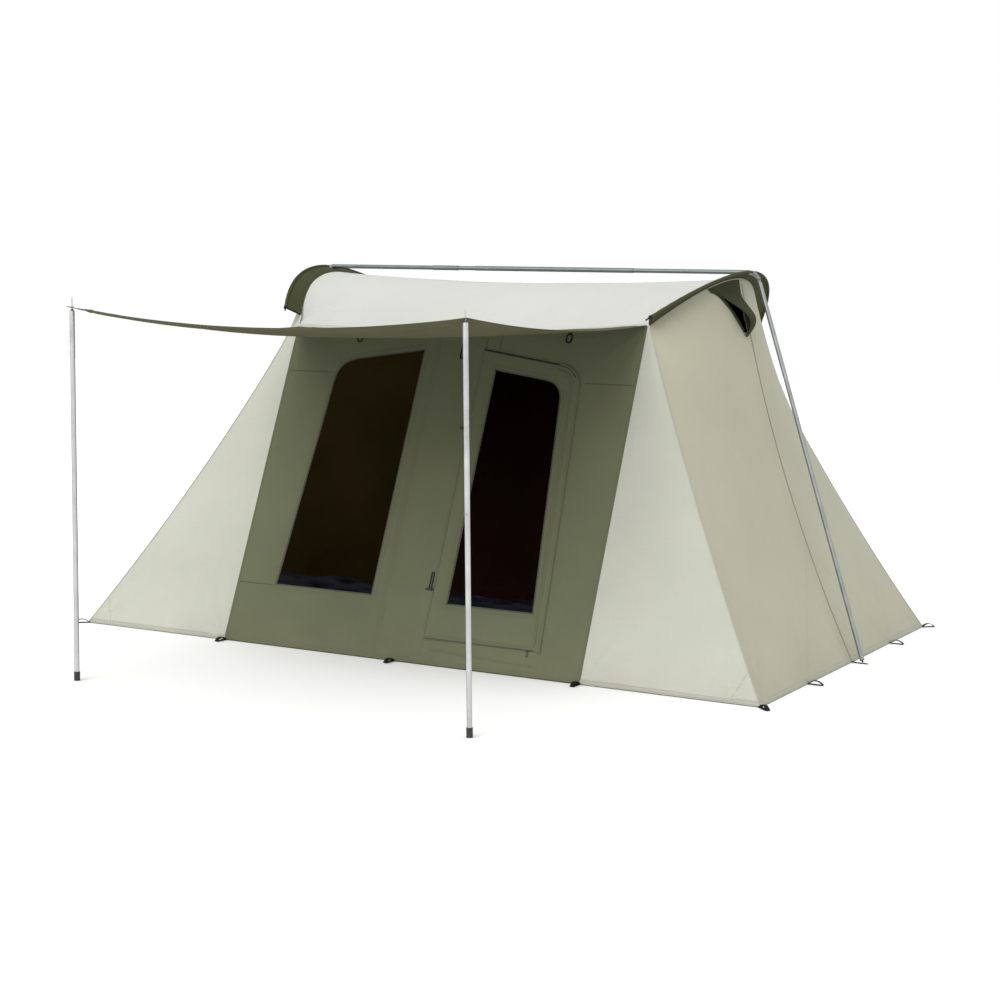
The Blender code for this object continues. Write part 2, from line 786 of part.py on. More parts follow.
def slider_body():
    """Zip slider with its pull tab, lying on the foot of the door."""
    face = -DOOR_PROUD - SEAM_GAP
    middle = Vector((DOOR_BOTTOM_RIGHT - FLAP_WIDTH - SLIDER_INSET, face - SLIDER_THICKNESS / 2, DOOR_BOTTOM))
    half = Vector((SLIDER_LENGTH, SLIDER_THICKNESS, SLIDER_WIDTH)) / 2
    body = box(middle - half, middle + half)
    bmesh.ops.bevel(body, geom=list(body.edges), offset=SLIDER_BEVEL, segments=2, affect="EDGES")
    top = middle.y - half.y + PULL_THICKNESS
    outline = [
        (middle.x - PULL_WIDTH / 2, middle.z + half.z / 2),
        (middle.x + PULL_WIDTH / 2, middle.z + half.z / 2),
        (middle.x + PULL_WIDTH, middle.z + half.z / 2 - PULL_LENGTH),
        (middle.x - PULL_WIDTH, middle.z + half.z / 2 - PULL_LENGTH),
    ]
    pull = plate(outline, top - PULL_THICKNESS - PULL_THICKNESS, top - PULL_THICKNESS / 2)
    return joined(body, pull)


def joined(first, second):
    """Union of two bmeshes, made with a Boolean on temporary objects."""
    finish = black_plastic()
    base = add_piece("union_base", first, finish)
    extra = add_piece("union_extra", second, finish)
    combine(base, extra, "UNION")
    graph = bpy.context.evaluated_depsgraph_get()
    mesh = bpy.data.meshes.new_from_object(base.evaluated_get(graph))
    made = bmesh.new()
    made.from_mesh(mesh)
    for obj in (base, extra):
        bpy.data.objects.remove(obj, do_unlink=True)
    bpy.data.meshes.remove(mesh)
    return made


def stadium(half_width, length, points):
    """Closed loop path with round ends, hanging from its top."""
    path = []
    for end, start in ((0, 0), (1, math.pi)):
        centre = -half_width - end * (length - 2 * half_width)
        for i in range(points + 1):
            angle = start + math.pi * i / points
            path.append((math.cos(angle) * half_width, centre + math.sin(angle) * half_width))
    return path


def loop_rings(path, place, radius_across, radius_out, sides):
    """Rings round a closed path; place maps path points into the part."""
    count = len(path)
    rings = []
    for i, (x, z) in enumerate(path):
        before, after = path[i - 1], path[(i + 1) % count]
        tangent = Vector((after[0] - before[0], after[1] - before[1])).normalized()
        normal = Vector((tangent.y, -tangent.x))
        ring = []
        for k in range(sides):
            angle = 2 * math.pi * k / sides
            across = math.cos(angle) * radius_across
            ring.append(place(x + normal.x * across, math.sin(angle) * radius_out, z + normal.y * across))
        rings.append(ring)
    return rings


def build_tie(name, height, frame):
    """Toggle on a cord loop that holds the rolled door back."""
    x = DOOR_LEFT - TIE_INSET
    out = -TOGGLE_RADIUS - SEAM_GAP

    def place(across, depth, up):
        return Vector((x + across, out + depth, height + up))

    path = stadium(TIE_HALF_WIDTH, TIE_DROP, ROD_SIDES // 2)
    cord = ring_body(loop_rings(path, place, TIE_CORD_RADIUS, TIE_CORD_RADIUS, ROD_SIDES), closed=True)
    start = Vector((x - TOGGLE_LENGTH / 2, out, height - TIE_DROP + TIE_CORD_RADIUS))
    profile = [
        (0, TOGGLE_RADIUS / 2),
        (TOGGLE_RADIUS / 2, TOGGLE_RADIUS),
        (TOGGLE_LENGTH - TOGGLE_RADIUS / 2, TOGGLE_RADIUS),
        (TOGGLE_LENGTH, TOGGLE_RADIUS / 2),
    ]
    toggle = turned(start, Vector((1, 0, 0)), profile, ROD_SIDES)
    add_piece(name, joined(cord, toggle), black_plastic(), frame)


def build_hanging_loops(frame):
    """Two webbing loops that lie flat on the wall under the front eave."""
    top = (EAVE_HEIGHT - HANGING_LOOP_BELOW_EAVE) / math.cos(WALL_LEAN)
    outer = stadium(HANGING_LOOP_HALF_WIDTH, HANGING_LOOP_DROP, ROD_SIDES // 2)
    for side, name in ((-1, "left"), (1, "right")):
        outline = [(side * HANGING_LOOP_X + x, top + z) for x, z in outer]
        hole = grown(outline, -HANGING_LOOP_WEB)
        body = plate(outline, -SEAM_GAP - HANGING_LOOP_THICKNESS, -SEAM_GAP, (hole,))
        add_piece(f"hanging_loop_{name}", body, black_webbing(), frame)


def build_floor():
    """Floor sheet with its stake loops and pole straps sewn on."""
    corners = [(-FLOOR_HALF_WIDTH, -FLOOR_HALF_DEPTH), (FLOOR_HALF_WIDTH, -FLOOR_HALF_DEPTH), (FLOOR_HALF_WIDTH, FLOOR_HALF_DEPTH), (-FLOOR_HALF_WIDTH, FLOOR_HALF_DEPTH)]
    straps = []
    for x in (-PANEL_HALF_WIDTH, 0.0, PANEL_HALF_WIDTH):
        for side in (-1, 1):
            straps.append((Vector((x, side * FLOOR_HALF_DEPTH)), Vector((0, side)), LOOP_LENGTH))
    for side in (-1, 1):
        for y in (-SIDE_LOOP_DEPTH, SIDE_LOOP_DEPTH):
            straps.append((Vector((side * FLOOR_HALF_WIDTH, y)), Vector((side, 0)), LOOP_LENGTH))
        straps.append((Vector((side * FLOOR_HALF_WIDTH, 0)), Vector((side, 0)), POLE_STRAP_LENGTH))
    outline = floor_outline(corners, straps)
    made = bmesh.new()
    verts = [made.verts.new((point[0], point[1], 0)) for point in outline]
    edges = [made.edges.new((vert, verts[(i + 1) % len(verts)])) for i, vert in enumerate(verts)]
    bmesh.ops.triangle_fill(made, use_beauty=True, use_dissolve=False, edges=edges)
    swept = bmesh.ops.extrude_face_region(made, geom=list(made.faces))
    moved = [item for item in swept["geom"] if isinstance(item, bmesh.types.BMVert)]
    bmesh.ops.translate(made, verts=moved, vec=(0, 0, FLOOR_THICKNESS))
    add_piece("floor_sheet", made, floor_vinyl())


def floor_outline(corners, straps):
    """Walks round the floor and lets each strap stand out of its edge."""
    outline = []
    count = len(corners)
    for i in range(count):
        start, end = Vector(corners[i]), Vector(corners[(i + 1) % count])
        along = (end - start).normalized()
        outline += corner_tab(start, (start - Vector(corners[i - 1])).normalized(), along)
        on_edge = []
        for root, direction, length in straps:
            place = (root - start).dot(along)
            if abs(direction.dot(along)) < OVERRUN and abs((root - start - along * place).length) < OVERRUN:
                on_edge.append((place, root, direction, length))
        for place, root, direction, length in sorted(on_edge, key=lambda strap: strap[0]):
            half = along * (LOOP_WIDTH / 2)
            soft, tip = root + direction * (length - LOOP_WIDTH / 2), root + direction * length
            outline += [root - half, soft - half, tip - half / 2, tip + half / 2, soft + half, root + half]
    return [tuple(point) for point in outline]


def corner_tab(corner, arriving, leaving):
    """Stake loop that stands out of a corner, along its diagonal."""
    direction = (arriving - leaving).normalized()
    side = Vector((-direction.y, direction.x)) * (LOOP_WIDTH / 2)
    if side.dot(leaving) < 0:
        side = -side
    cut = LOOP_WIDTH * math.sqrt(0.5)
    tip = corner + direction * LOOP_LENGTH
    soft = tip - direction * (LOOP_WIDTH / 2)
    return [corner - arriving * cut, soft - side, tip - side / 2, tip + side / 2, soft + side, corner + leaving * cut]


def bow_point(share):
    """Axis of the right bow; share runs from -1 at the front tip to 1."""
    apex = Vector((BOW_APEX_HALF_LENGTH, 0, RIDGE_HEIGHT))
    drop = Vector((BOW_TIP_HALF_LENGTH - BOW_APEX_HALF_LENGTH, 0, BOW_TIP_HEIGHT - RIDGE_HEIGHT))
    return apex + drop * share**2 + Vector((0, BOW_TIP_DEPTH * share, 0))


def bow_frame(share):
    """Tangent, outward side and upward side of the bow at a share."""
    drop = Vector((BOW_TIP_HALF_LENGTH - BOW_APEX_HALF_LENGTH, 0, BOW_TIP_HEIGHT - RIDGE_HEIGHT))
    tangent = (drop * (2 * share) + Vector((0, BOW_TIP_DEPTH, 0))).normalized()
    binormal = drop.cross(Vector((0, 1, 0))).normalized()
    return tangent, binormal, tangent.cross(binormal)


def bow_shares():
    """The arch's shares, with a level stretch at the ridge end fitting."""
    flat_share = 1.5 * FITTING_HALF_WIDTH / BOW_TIP_DEPTH
    shares = even_shares(ARCH_COLUMNS, -1.0, 1.0)
    middle = ARCH_COLUMNS // 2
    return [*shares[:middle], -flat_share, flat_share, *shares[middle + 1 :]]


def bow_rings(radius, reach_share, side):
    """Rings of a round section along the bow, past its ends by a share."""
    rings = []
    for share in [-1 - reach_share, *bow_shares(), 1 + reach_share]:
        _, first, second = bow_frame(share)
        rings.append(circle_points(bow_point(share), first, second, radius, ROD_SIDES))
    return [[Vector((point.x * side, point.y, point.z)) for point in ring] for ring in rings]


def brow_rings(side):
    """Rings of the brow: a band from the roof's edge to the bow's sleeve."""
    rings = []
    for share in bow_shares():
        tangent, _, _ = bow_frame(share)
        bow, edge = bow_point(share), end_wall_point(1, share)
        reach = (bow - edge).normalized()
        out = (reach - tangent * reach.dot(tangent)).normalized()
        up = tangent.cross(out)
        if up.z < 0:
            up = -up
        half = up * (BROW_THICKNESS / 2)
        root = edge + reach * SEAM_GAP
        open_angle = math.asin(BROW_THICKNESS / (2 * SLEEVE_RADIUS))
        ring = [root - half, root + half]
        for i in range(ROD_SIDES + 1):
            angle = math.pi - open_angle - (2 * math.pi - 2 * open_angle) * i / ROD_SIDES
            ring.append(bow + (out * math.cos(angle) + up * math.sin(angle)) * SLEEVE_RADIUS)
        rings.append([Vector((point.x * side, point.y, point.z)) for point in ring])
    return rings


def build_bow(side, name):
    """Sprung bow rod and the brow whose sleeve holds it."""
    length = math.hypot(BOW_TIP_DEPTH, RIDGE_HEIGHT - BOW_TIP_HEIGHT, BOW_APEX_HALF_LENGTH - BOW_TIP_HALF_LENGTH)
    tip_share = BOW_TIP_LENGTH / length
    soft = math.radians(40)
    add_piece(f"bow_rod_{name}", ring_body(bow_rings(BOW_ROD_RADIUS, tip_share, side)), spring_steel(), smooth=soft)
    brow = add_piece(f"brow_{name}", ring_body(brow_rings(side)), green_canvas())
    bore_radius = (BOW_ROD_RADIUS + SLEEVE_CLEARANCE) / math.cos(math.pi / ROD_SIDES)
    bore = add_piece(f"brow_{name}_bore", ring_body(bow_rings(bore_radius, tip_share, side)), spring_steel())
    combine(brow, bore, "DIFFERENCE")
    low = Vector((BOW_APEX_HALF_LENGTH - NOTCH_REACH, -NOTCH_HALF_DEPTH, RIDGE_HEIGHT - NOTCH_REACH))
    high = Vector((BOW_APEX_HALF_LENGTH + NOTCH_REACH, NOTCH_HALF_DEPTH, RIDGE_HEIGHT + NOTCH_REACH))
    low.x, high.x = sorted((low.x * side, high.x * side))
    combine(brow, add_piece(f"brow_{name}_notch", box(low, high), spring_steel()), "DIFFERENCE")


def button_body(root, out, radius):
    """Sprung button: a round stem with a domed head, standing on its root."""
    profile = [
        (-BUTTON_STEM, radius),
        (BUTTON_PROUD - radius / 2, radius),
        (BUTTON_PROUD - radius / 6, radius * 0.8),
        (BUTTON_PROUD, radius * 0.4),
    ]
    return turned(root, out, profile, ROD_SIDES)


def add_button(name, surface, out, holed, parent=None):
    """Button through the given tubes; surface lies on the outer tube."""
    pivot = add_empty(f"{name}_pivot", surface, parent=parent)
    origin = Vector((0, 0, 0))
    add_piece(name, button_body(origin, out, BUTTON_RADIUS), galvanised_steel(), pivot)
    hole_radius = (BUTTON_RADIUS + BUTTON_CLEARANCE) / math.cos(math.pi / ROD_SIDES)
    profile = [(-BUTTON_STEM, hole_radius), (BUTTON_PROUD, hole_radius)]
    cutter = add_piece(f"{name}_hole", turned(origin, out, profile, ROD_SIDES), galvanised_steel(), pivot)
    for tube in holed:
        combine(tube, cutter, "DIFFERENCE")


def build_ridge():
    """Ridge pole above the roof: two thin tubes, a sleeve and a collar."""
    along = Vector((1, 0, 0))
    bore = RIDGE_TUBE_RADIUS - TUBE_WALL
    soft = math.radians(40)

    def tube(name, left, right, radius, inner):
        start = Vector((left, 0, RIDGE_HEIGHT))
        body = hollow(start, along, right - left, radius, inner, TUBE_SIDES)
        return add_piece(name, body, galvanised_steel(), smooth=soft)

    left_end = RIDGE_SLEEVE_LEFT + RIDGE_OVERLAP
    right_end = RIDGE_SLEEVE_RIGHT - RIDGE_OVERLAP
    left_tube = tube("ridge_tube_left", -RIDGE_HALF_LENGTH, left_end, RIDGE_TUBE_RADIUS, bore)
    right_tube = tube("ridge_tube_right", right_end, RIDGE_HALF_LENGTH, RIDGE_TUBE_RADIUS, bore)
    inner = (RIDGE_TUBE_RADIUS + TUBE_CLEARANCE) / math.cos(math.pi / TUBE_SIDES)
    sleeve = tube("ridge_centre_sleeve", RIDGE_SLEEVE_LEFT, RIDGE_SLEEVE_RIGHT, RIDGE_SLEEVE_RADIUS, inner)
    tube("ridge_collar", RIDGE_COLLAR_LEFT, RIDGE_COLLAR_RIGHT, RIDGE_SLEEVE_RADIUS, inner)
    out = Vector((0, -1, 0))
    left_button = Vector((RIDGE_SLEEVE_LEFT + RIDGE_BUTTON_INSET, -RIDGE_SLEEVE_RADIUS, RIDGE_HEIGHT))
    right_button = Vector((RIDGE_SLEEVE_RIGHT + RIDGE_BUTTON_OUTSET, -RIDGE_TUBE_RADIUS, RIDGE_HEIGHT))
    add_button("ridge_button_left", left_button, out, (sleeve, left_tube))
    add_button("ridge_button_right", right_button, out, (right_tube,))


def hinge_pin_point():
    """Axis of the pin that the right upright pole hangs on."""
    return Vector((BOW_APEX_HALF_LENGTH + HINGE_PIN_OUT, 0, RIDGE_HEIGHT - HINGE_PIN_DROP))


def foot_point():
    """Where the right upright pole's axis meets its strap."""
    return Vector((FLOOR_HALF_WIDTH + UPRIGHT_FOOT_OUT, 0, WALL_FOOT))


def fitting_outline():
    """Side view of a ridge end fitting, round the bow's eye and the pin."""
    eye = Vector((BOW_APEX_HALF_LENGTH, RIDGE_HEIGHT))
    pin = Vector((hinge_pin_point().x, hinge_pin_point().z))
    run = (pin - eye).normalized()
    side = Vector((-run.y, run.x))
    points = [Vector((RIDGE_HALF_LENGTH + SEAM_GAP, eye.y + FITTING_PLATE_MARGIN))]
    eye_radius = FITTING_PLATE_MARGIN
    for share in even_shares(4):
        angle = math.atan2(side.y, side.x)
        turn = math.pi / 2 + (angle - math.pi / 2) * share
        points.append(eye + Vector((math.cos(turn), math.sin(turn))) * eye_radius)
    pin_radius = TONGUE_RADIUS
    start = math.atan2(side.y, side.x)
    for share in even_shares(6):
        turn = start - math.pi * share
        points.append(pin + Vector((math.cos(turn), math.sin(turn))) * pin_radius)
    points.append(Vector((RIDGE_HALF_LENGTH + SEAM_GAP, eye.y - FITTING_PLATE_MARGIN)))
    return [tuple(point) for point in points]


def round_hole(centre, radius, sides):
    """Outline of a round hole in X and Z."""
    points = []
    for i in range(sides):
        angle = 2 * math.pi * (i + 0.5) / sides
        points.append((centre.x + math.cos(angle) * radius, centre.z + math.sin(angle) * radius))
    return points


def build_fitting(side, name):
    """Cast end of the ridge pole: plug, bow eye and fork for the upright."""
    pin = hinge_pin_point()
    eye = Vector((BOW_APEX_HALF_LENGTH, 0, RIDGE_HEIGHT))
    frame = add_empty(f"ridge_end_{name}", (0, 0, 0), (0, 0, 0 if side > 0 else math.pi))
    eye_radius = (BOW_ROD_RADIUS + SLEEVE_CLEARANCE) / math.cos(math.pi / ROD_SIDES)
    body = plate(
        fitting_outline(), -FITTING_HALF_WIDTH, FITTING_HALF_WIDTH, (round_hole(eye, eye_radius, ROD_SIDES * 2),)
    )
    fitting = add_piece(f"ridge_end_fitting_{name}", body, galvanised_steel(), frame)
    slot_half = TONGUE_HALF_WIDTH + TONGUE_CLEARANCE
    slot_reach = TONGUE_RADIUS + TONGUE_CLEARANCE
    low = Vector((pin.x - slot_reach, -slot_half, pin.z - slot_reach * 2))
    high = Vector((pin.x + slot_reach * 2, slot_half, pin.z + slot_reach * 2))
    combine(fitting, add_piece(f"fork_slot_{name}", box(low, high), galvanised_steel(), frame), "DIFFERENCE")
    pin_start = pin - Vector((0, FITTING_HALF_WIDTH - TUBE_WALL, 0))
    pin_profile = [(0, HINGE_PIN_RADIUS), (2 * (FITTING_HALF_WIDTH - TUBE_WALL), HINGE_PIN_RADIUS)]
    pin_body = turned(pin_start, Vector((0, 1, 0)), pin_profile, TUBE_SIDES)
    combine(fitting, add_piece(f"fork_pin_{name}", pin_body, galvanised_steel(), frame), "UNION")
    plug_radius = RIDGE_TUBE_RADIUS - TUBE_WALL - TUBE_CLEARANCE
    plug_start = Vector((RIDGE_HALF_LENGTH - FITTING_PLUG_LENGTH, 0, RIDGE_HEIGHT))
    plug_profile = [
        (0, plug_radius - TUBE_WALL),
        (TUBE_WALL, plug_radius),
        (FITTING_PLUG_LENGTH + SEAM_GAP + TUBE_WALL, plug_radius),
    ]
    plug = turned(plug_start, Vector((1, 0, 0)), plug_profile, TUBE_SIDES)
    combine(fitting, add_piece(f"ridge_plug_{name}", plug, galvanised_steel(), frame), "UNION")


def build_upright(side, name):
    """Leaning pole outside an end wall, hung on the fitting's pin."""
    pin, foot = hinge_pin_point(), foot_point()
    frame = add_empty(f"upright_frame_{name}", (0, 0, 0), (0, 0, 0 if side > 0 else math.pi))
    pivot = add_empty(f"upright_pivot_{name}", pin, parent=frame)
    axis = (foot - pin).normalized()
    length = (foot - pin).length
    origin = Vector((0, 0, 0))
    bore = POLE_RADIUS - TUBE_WALL
    joint = length * UPRIGHT_JOINT_SHARE
    collar_rise = FOOT_COLLAR_RADIUS * math.tan(math.acos(-axis.z))
    tube_end = length - collar_rise - FOOT_PIN_TIP - FOOT_TUBE_LIFT
    soft = math.radians(40)

    upper = add_piece(
        f"upright_upper_tube_{name}",
        hollow(origin + axis * TONGUE_LENGTH, axis, joint - TONGUE_LENGTH, POLE_RADIUS, bore, TUBE_SIDES),
        galvanised_steel(),
        pivot,
        soft,
    )
    combine(upper, tongue(name, pivot, axis), "UNION")
    lower = add_piece(
        f"upright_lower_tube_{name}",
        hollow_stepped(origin, axis, swaged_outline(joint + SEAM_GAP, tube_end, bore), TUBE_SIDES),
        galvanised_steel(),
        pivot,
        soft,
    )
    outward = Vector((0, -side, 0))
    surface = origin + axis * (joint - BUTTON_TO_JOINT) + outward * POLE_RADIUS
    add_button(f"upright_button_{name}", surface, outward, (upper, lower), pivot)
    pin_profile = [
        (0, FOOT_PIN_RADIUS / 2),
        (FOOT_PIN_RADIUS / 2, FOOT_PIN_RADIUS),
        (FOOT_PIN_LENGTH, FOOT_PIN_RADIUS),
        (FOOT_PIN_LENGTH, FOOT_COLLAR_RADIUS + TUBE_WALL),
        (FOOT_PIN_LENGTH + FOOT_COLLAR_LENGTH, FOOT_COLLAR_RADIUS + TUBE_WALL),
        (FOOT_PIN_LENGTH + FOOT_COLLAR_LENGTH, FOOT_PIN_RADIUS),
        (FOOT_PIN_LENGTH + FOOT_PIN_TIP - FOOT_TUBE_LIFT, FOOT_PIN_RADIUS),
    ]
    pin_start = origin + axis * (tube_end + FOOT_TUBE_LIFT - FOOT_PIN_LENGTH)
    add_piece(f"upright_foot_pin_{name}", turned(pin_start, axis, pin_profile, ROD_SIDES), spring_steel(), pivot, soft)


def swaged_outline(start, end, bore):
    """Closed outline of a tube with a thin neck that plugs into the last."""
    neck = SWAGE_RADIUS - TUBE_WALL
    return [
        (start - SWAGE_LENGTH, SWAGE_RADIUS),
        (start, SWAGE_RADIUS),
        (start, POLE_RADIUS),
        (end, POLE_RADIUS),
        (end, bore),
        (start + TUBE_WALL, bore),
        (start + TUBE_WALL, neck),
        (start - SWAGE_LENGTH, neck),
    ]


def tongue(name, pivot, axis):
    """Flat eye at the top of an upright, with its plug into the tube."""
    across = Vector((0, 1, 0))
    side = axis.cross(across)
    round_points = ROD_SIDES // 2
    outline = []
    for share in even_shares(round_points):
        angle = math.pi * share
        outline.append(side * (math.cos(angle) * TONGUE_RADIUS) - axis * (math.sin(angle) * TONGUE_RADIUS))
    outline.append(axis * (TONGUE_LENGTH + SWAGE_LENGTH / 2) - side * TONGUE_RADIUS)
    outline.append(axis * (TONGUE_LENGTH + SWAGE_LENGTH / 2) + side * TONGUE_RADIUS)
    hole_radius = (HINGE_PIN_RADIUS + HINGE_PIN_CLEARANCE) / math.cos(math.pi / TUBE_SIDES)
    hole = round_hole(Vector((0, 0, 0)), hole_radius, TUBE_SIDES)
    flat = [(point.x, point.z) for point in outline]
    eye = add_piece(
        f"tongue_{name}", plate(flat, -TONGUE_HALF_WIDTH, TONGUE_HALF_WIDTH, (hole,)), galvanised_steel(), pivot
    )
    profile = [
        (TONGUE_LENGTH - TUBE_WALL, POLE_RADIUS - TUBE_WALL / 2),
        (TONGUE_LENGTH + SWAGE_LENGTH / 2, POLE_RADIUS - TUBE_WALL / 2),
    ]
    plug = add_piece(
        f"tongue_plug_{name}", turned(Vector((0, 0, 0)), axis, profile, TUBE_SIDES), galvanised_steel(), pivot
    )
    return combine(eye, plug, "UNION")


def build_hood(side, name):
    """Vent hood: cloth that stands off the gable, open towards the front."""
    rows, inner = [], []
    tip_share = (HOOD_TIP_HEIGHT - WALL_FOOT) / (ROOF_END_HEIGHT - WALL_FOOT)
    inset_share = 0.004
    outward = Vector((math.cos(WALL_LEAN), 0, math.sin(WALL_LEAN)))
    for down in even_shares(HOOD_ROWS):
        up_share = 1 - inset_share + (tip_share - 1 + inset_share) * down
        start_share = HOOD_START_SHARE + (HOOD_END_SHARE * 2 - HOOD_START_SHARE) * down
        line, low = [], []
        for across in even_shares(HOOD_COLUMNS):
            reach_share = start_share + (HOOD_END_SHARE - start_share) * across
            bulge = math.sin(math.pi * min(down * 1.15, 1.0)) ** 0.8 * math.cos(math.pi / 2 * across) ** 0.6
            base = end_wall_point(up_share, -reach_share)
            stand = HOOD_CLEARANCE + HOOD_STANDOFF * bulge
            low.append(base + outward * stand)
            line.append(base + outward * (stand + HOOD_THICKNESS))
        rows.append(line)
        inner.append(low)
    body = grid_body(mirrored(rows, side, -1), mirrored(inner, side, -1))
    add_piece(f"vent_hood_{name}", body, hood_canvas(), smooth=math.radians(50))


def awning_point(side_share, out_share):
    """Upper face of the awning; out_share is 0 at the eave, 1 in front."""
    middle = (AWNING_RIGHT_HALF_WIDTH - AWNING_LEFT_HALF_WIDTH) / 2
    half = (AWNING_RIGHT_HALF_WIDTH + AWNING_LEFT_HALF_WIDTH) / 2 + AWNING_CORNER_REACH
    rear_y = -EAVE_DEPTH - awning_seat()
    front_y = -AWNING_FRONT_DEPTH - AWNING_CORNER_REACH
    x = PANEL_HALF_WIDTH * side_share * (1 - out_share) + (middle + half * side_share) * out_share
    y = rear_y + (front_y - rear_y) * out_share
    z = EAVE_HEIGHT + (AWNING_FRONT_HEIGHT - EAVE_HEIGHT) * out_share
    along = 4 * out_share * (1 - out_share)
    z -= AWNING_SIDE_SAG * along
    z -= AWNING_FRONT_SAG * (1 - side_share**2) * out_share**1.5
    z -= AWNING_BELLY * (1 - side_share**2) * along
    return Vector((x, y, z))


def awning_seat():
    """How far the awning's rear edge stands in front of the eave line."""
    return CANVAS * math.tan(WALL_LEAN) + SEAM_GAP * 1.5


def build_awning():
    """Awning sheet that hinges up along the eave, with its two poles."""
    hinge = Vector((0, -EAVE_DEPTH - awning_seat(), EAVE_HEIGHT))
    pivot = add_empty("awning_pivot", hinge)
    outer, inner = [], []
    for out in even_shares(AWNING_ROWS):
        line = [awning_point(side, out) - hinge for side in even_shares(AWNING_COLUMNS, -1.0, 1.0)]
        outer.append(line)
        inner.append([point - Vector((0, 0, CANVAS)) for point in line])
    sheet = add_piece("awning_sheet", grid_body(outer, inner), green_canvas(), pivot, math.radians(50))
    corners = (
        ("left", -AWNING_LEFT_HALF_WIDTH, POLE_LEAN_LEFT),
        ("right", AWNING_RIGHT_HALF_WIDTH, POLE_LEAN_RIGHT),
    )
    for name, top_x, lean in corners:
        top = Vector((top_x, -AWNING_FRONT_DEPTH, AWNING_FRONT_HEIGHT - CANVAS / 2 - corner_dip()))
        build_awning_pole(name, pivot, hinge, top, lean, sheet)


def corner_dip():
    """How far the awning hangs below its corner height at a grommet."""
    depth = AWNING_FRONT_DEPTH - EAVE_DEPTH
    out_share = depth / (depth + AWNING_CORNER_REACH)
    half = (AWNING_RIGHT_HALF_WIDTH + AWNING_LEFT_HALF_WIDTH) / 2
    side_share = half / (half + AWNING_CORNER_REACH)
    dip = AWNING_SIDE_SAG * 4 * out_share * (1 - out_share)
    dip += AWNING_FRONT_SAG * (1 - side_share**2) * out_share**1.5
    return dip


def build_awning_pole(name, awning, hinge, top, lean, sheet):
    """Two tubes, a spike through the awning's corner and a foot cap."""
    pivot = add_empty(f"awning_pole_pivot_{name}", top - hinge, parent=awning)
    foot = Vector((top.x + lean, top.y, 0))
    axis = (foot - top).normalized()
    length = (foot - top).length
    origin = Vector((0, 0, 0))
    bore = POLE_RADIUS - TUBE_WALL
    soft = math.radians(40)
    joint = (top.z - POLE_JOINT_HEIGHT) / -axis.z
    upper = add_piece(
        f"awning_pole_upper_{name}",
        hollow(origin + axis * TUBE_TOP_DROP, axis, joint - TUBE_TOP_DROP, POLE_RADIUS, bore, TUBE_SIDES),
        galvanised_steel(),
        pivot,
        soft,
    )
    spike_profile = [
        (-SPIKE_LENGTH, SPIKE_RADIUS / 3),
        (-SPIKE_LENGTH + SPIKE_POINT, SPIKE_RADIUS),
        (SHOULDER_DROP, SPIKE_RADIUS),
        (SHOULDER_DROP, SHOULDER_RADIUS),
        (TUBE_TOP_DROP, POLE_RADIUS - TUBE_WALL / 2),
        (TUBE_TOP_DROP + SWAGE_LENGTH / 2, POLE_RADIUS - TUBE_WALL / 2),
    ]
    spike = add_piece(f"awning_spike_{name}", turned(origin, axis, spike_profile, TUBE_SIDES), galvanised_steel(), pivot)
    combine(upper, spike, "UNION")
    tube_end = length - cap_slant(axis) - CAP_SOLE - SEAM_GAP
    lower = add_piece(
        f"awning_pole_lower_{name}",
        hollow_stepped(origin, axis, swaged_outline(joint + SEAM_GAP, tube_end, bore), TUBE_SIDES),
        galvanised_steel(),
        pivot,
        soft,
    )
    out = Vector((0, -1, 0))
    surface = axis * (joint - BUTTON_TO_JOINT) + out * POLE_RADIUS
    add_button(f"awning_button_{name}", surface, out, (upper, lower), pivot)
    inner = (POLE_RADIUS + TUBE_CLEARANCE) / math.cos(math.pi / TUBE_SIDES)
    outer = inner + CAP_WALL
    cap_end = length - cap_slant(axis)
    first, second = side_vectors(axis)
    rings = [
        circle_points(axis * (cap_end - CAP_HEIGHT), first, second, outer, TUBE_SIDES),
        circle_points(axis * cap_end, first, second, outer, TUBE_SIDES),
    ]
    cap = add_piece(f"awning_foot_cap_{name}", ring_body(rings), black_plastic(), pivot, soft)
    bore_rings = [
        circle_points(axis * (cap_end - CAP_HEIGHT - OVERRUN), first, second, inner, TUBE_SIDES),
        circle_points(axis * (cap_end - CAP_SOLE), first, second, inner, TUBE_SIDES),
    ]
    combine(cap, add_piece(f"foot_bore_{name}", ring_body(bore_rings), black_plastic(), pivot), "DIFFERENCE")
    hole = add_piece(
        f"grommet_hole_{name}",
        turned(top - hinge, Vector((0, 0, 1)), [(-OVERRUN, GROMMET_RADIUS), (OVERRUN, GROMMET_RADIUS)], TUBE_SIDES),
        black_plastic(),
        awning,
    )
    combine(sheet, hole, "DIFFERENCE")


def cap_slant(axis):
    """Lift that brings a leaning cap's lowest corner to the ground."""
    radius = (POLE_RADIUS + TUBE_CLEARANCE) / math.cos(math.pi / TUBE_SIDES) + CAP_WALL
    return radius * math.tan(math.acos(-axis.z))


def build_tent():
    """Builds the whole tent."""
    clear_scene()
    build_floor()
    build_canopy()
    front = build_wall("front", 0.0)
    build_wall("rear", math.pi)
    build_hanging_loops(front)
    build_ridge()
    for side, name in ((1, "right"), (-1, "left")):
        build_bow(side, name)
        build_fitting(side, name)
        build_upright(side, name)
        build_hood(side, name)
    build_awning()
    bpy.context.view_layer.update()


build_tent()
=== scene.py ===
"""Canvas cabin tent with a front awning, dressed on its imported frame."""

import logging
import math
from collections.abc import Callable, Sequence
from dataclasses import dataclass, field
from enum import Enum
from functools import cache

import bmesh
import bpy
import numpy as np
from mathutils import Matrix, Vector, noise
from mathutils.geometry import delaunay_2d_cdt


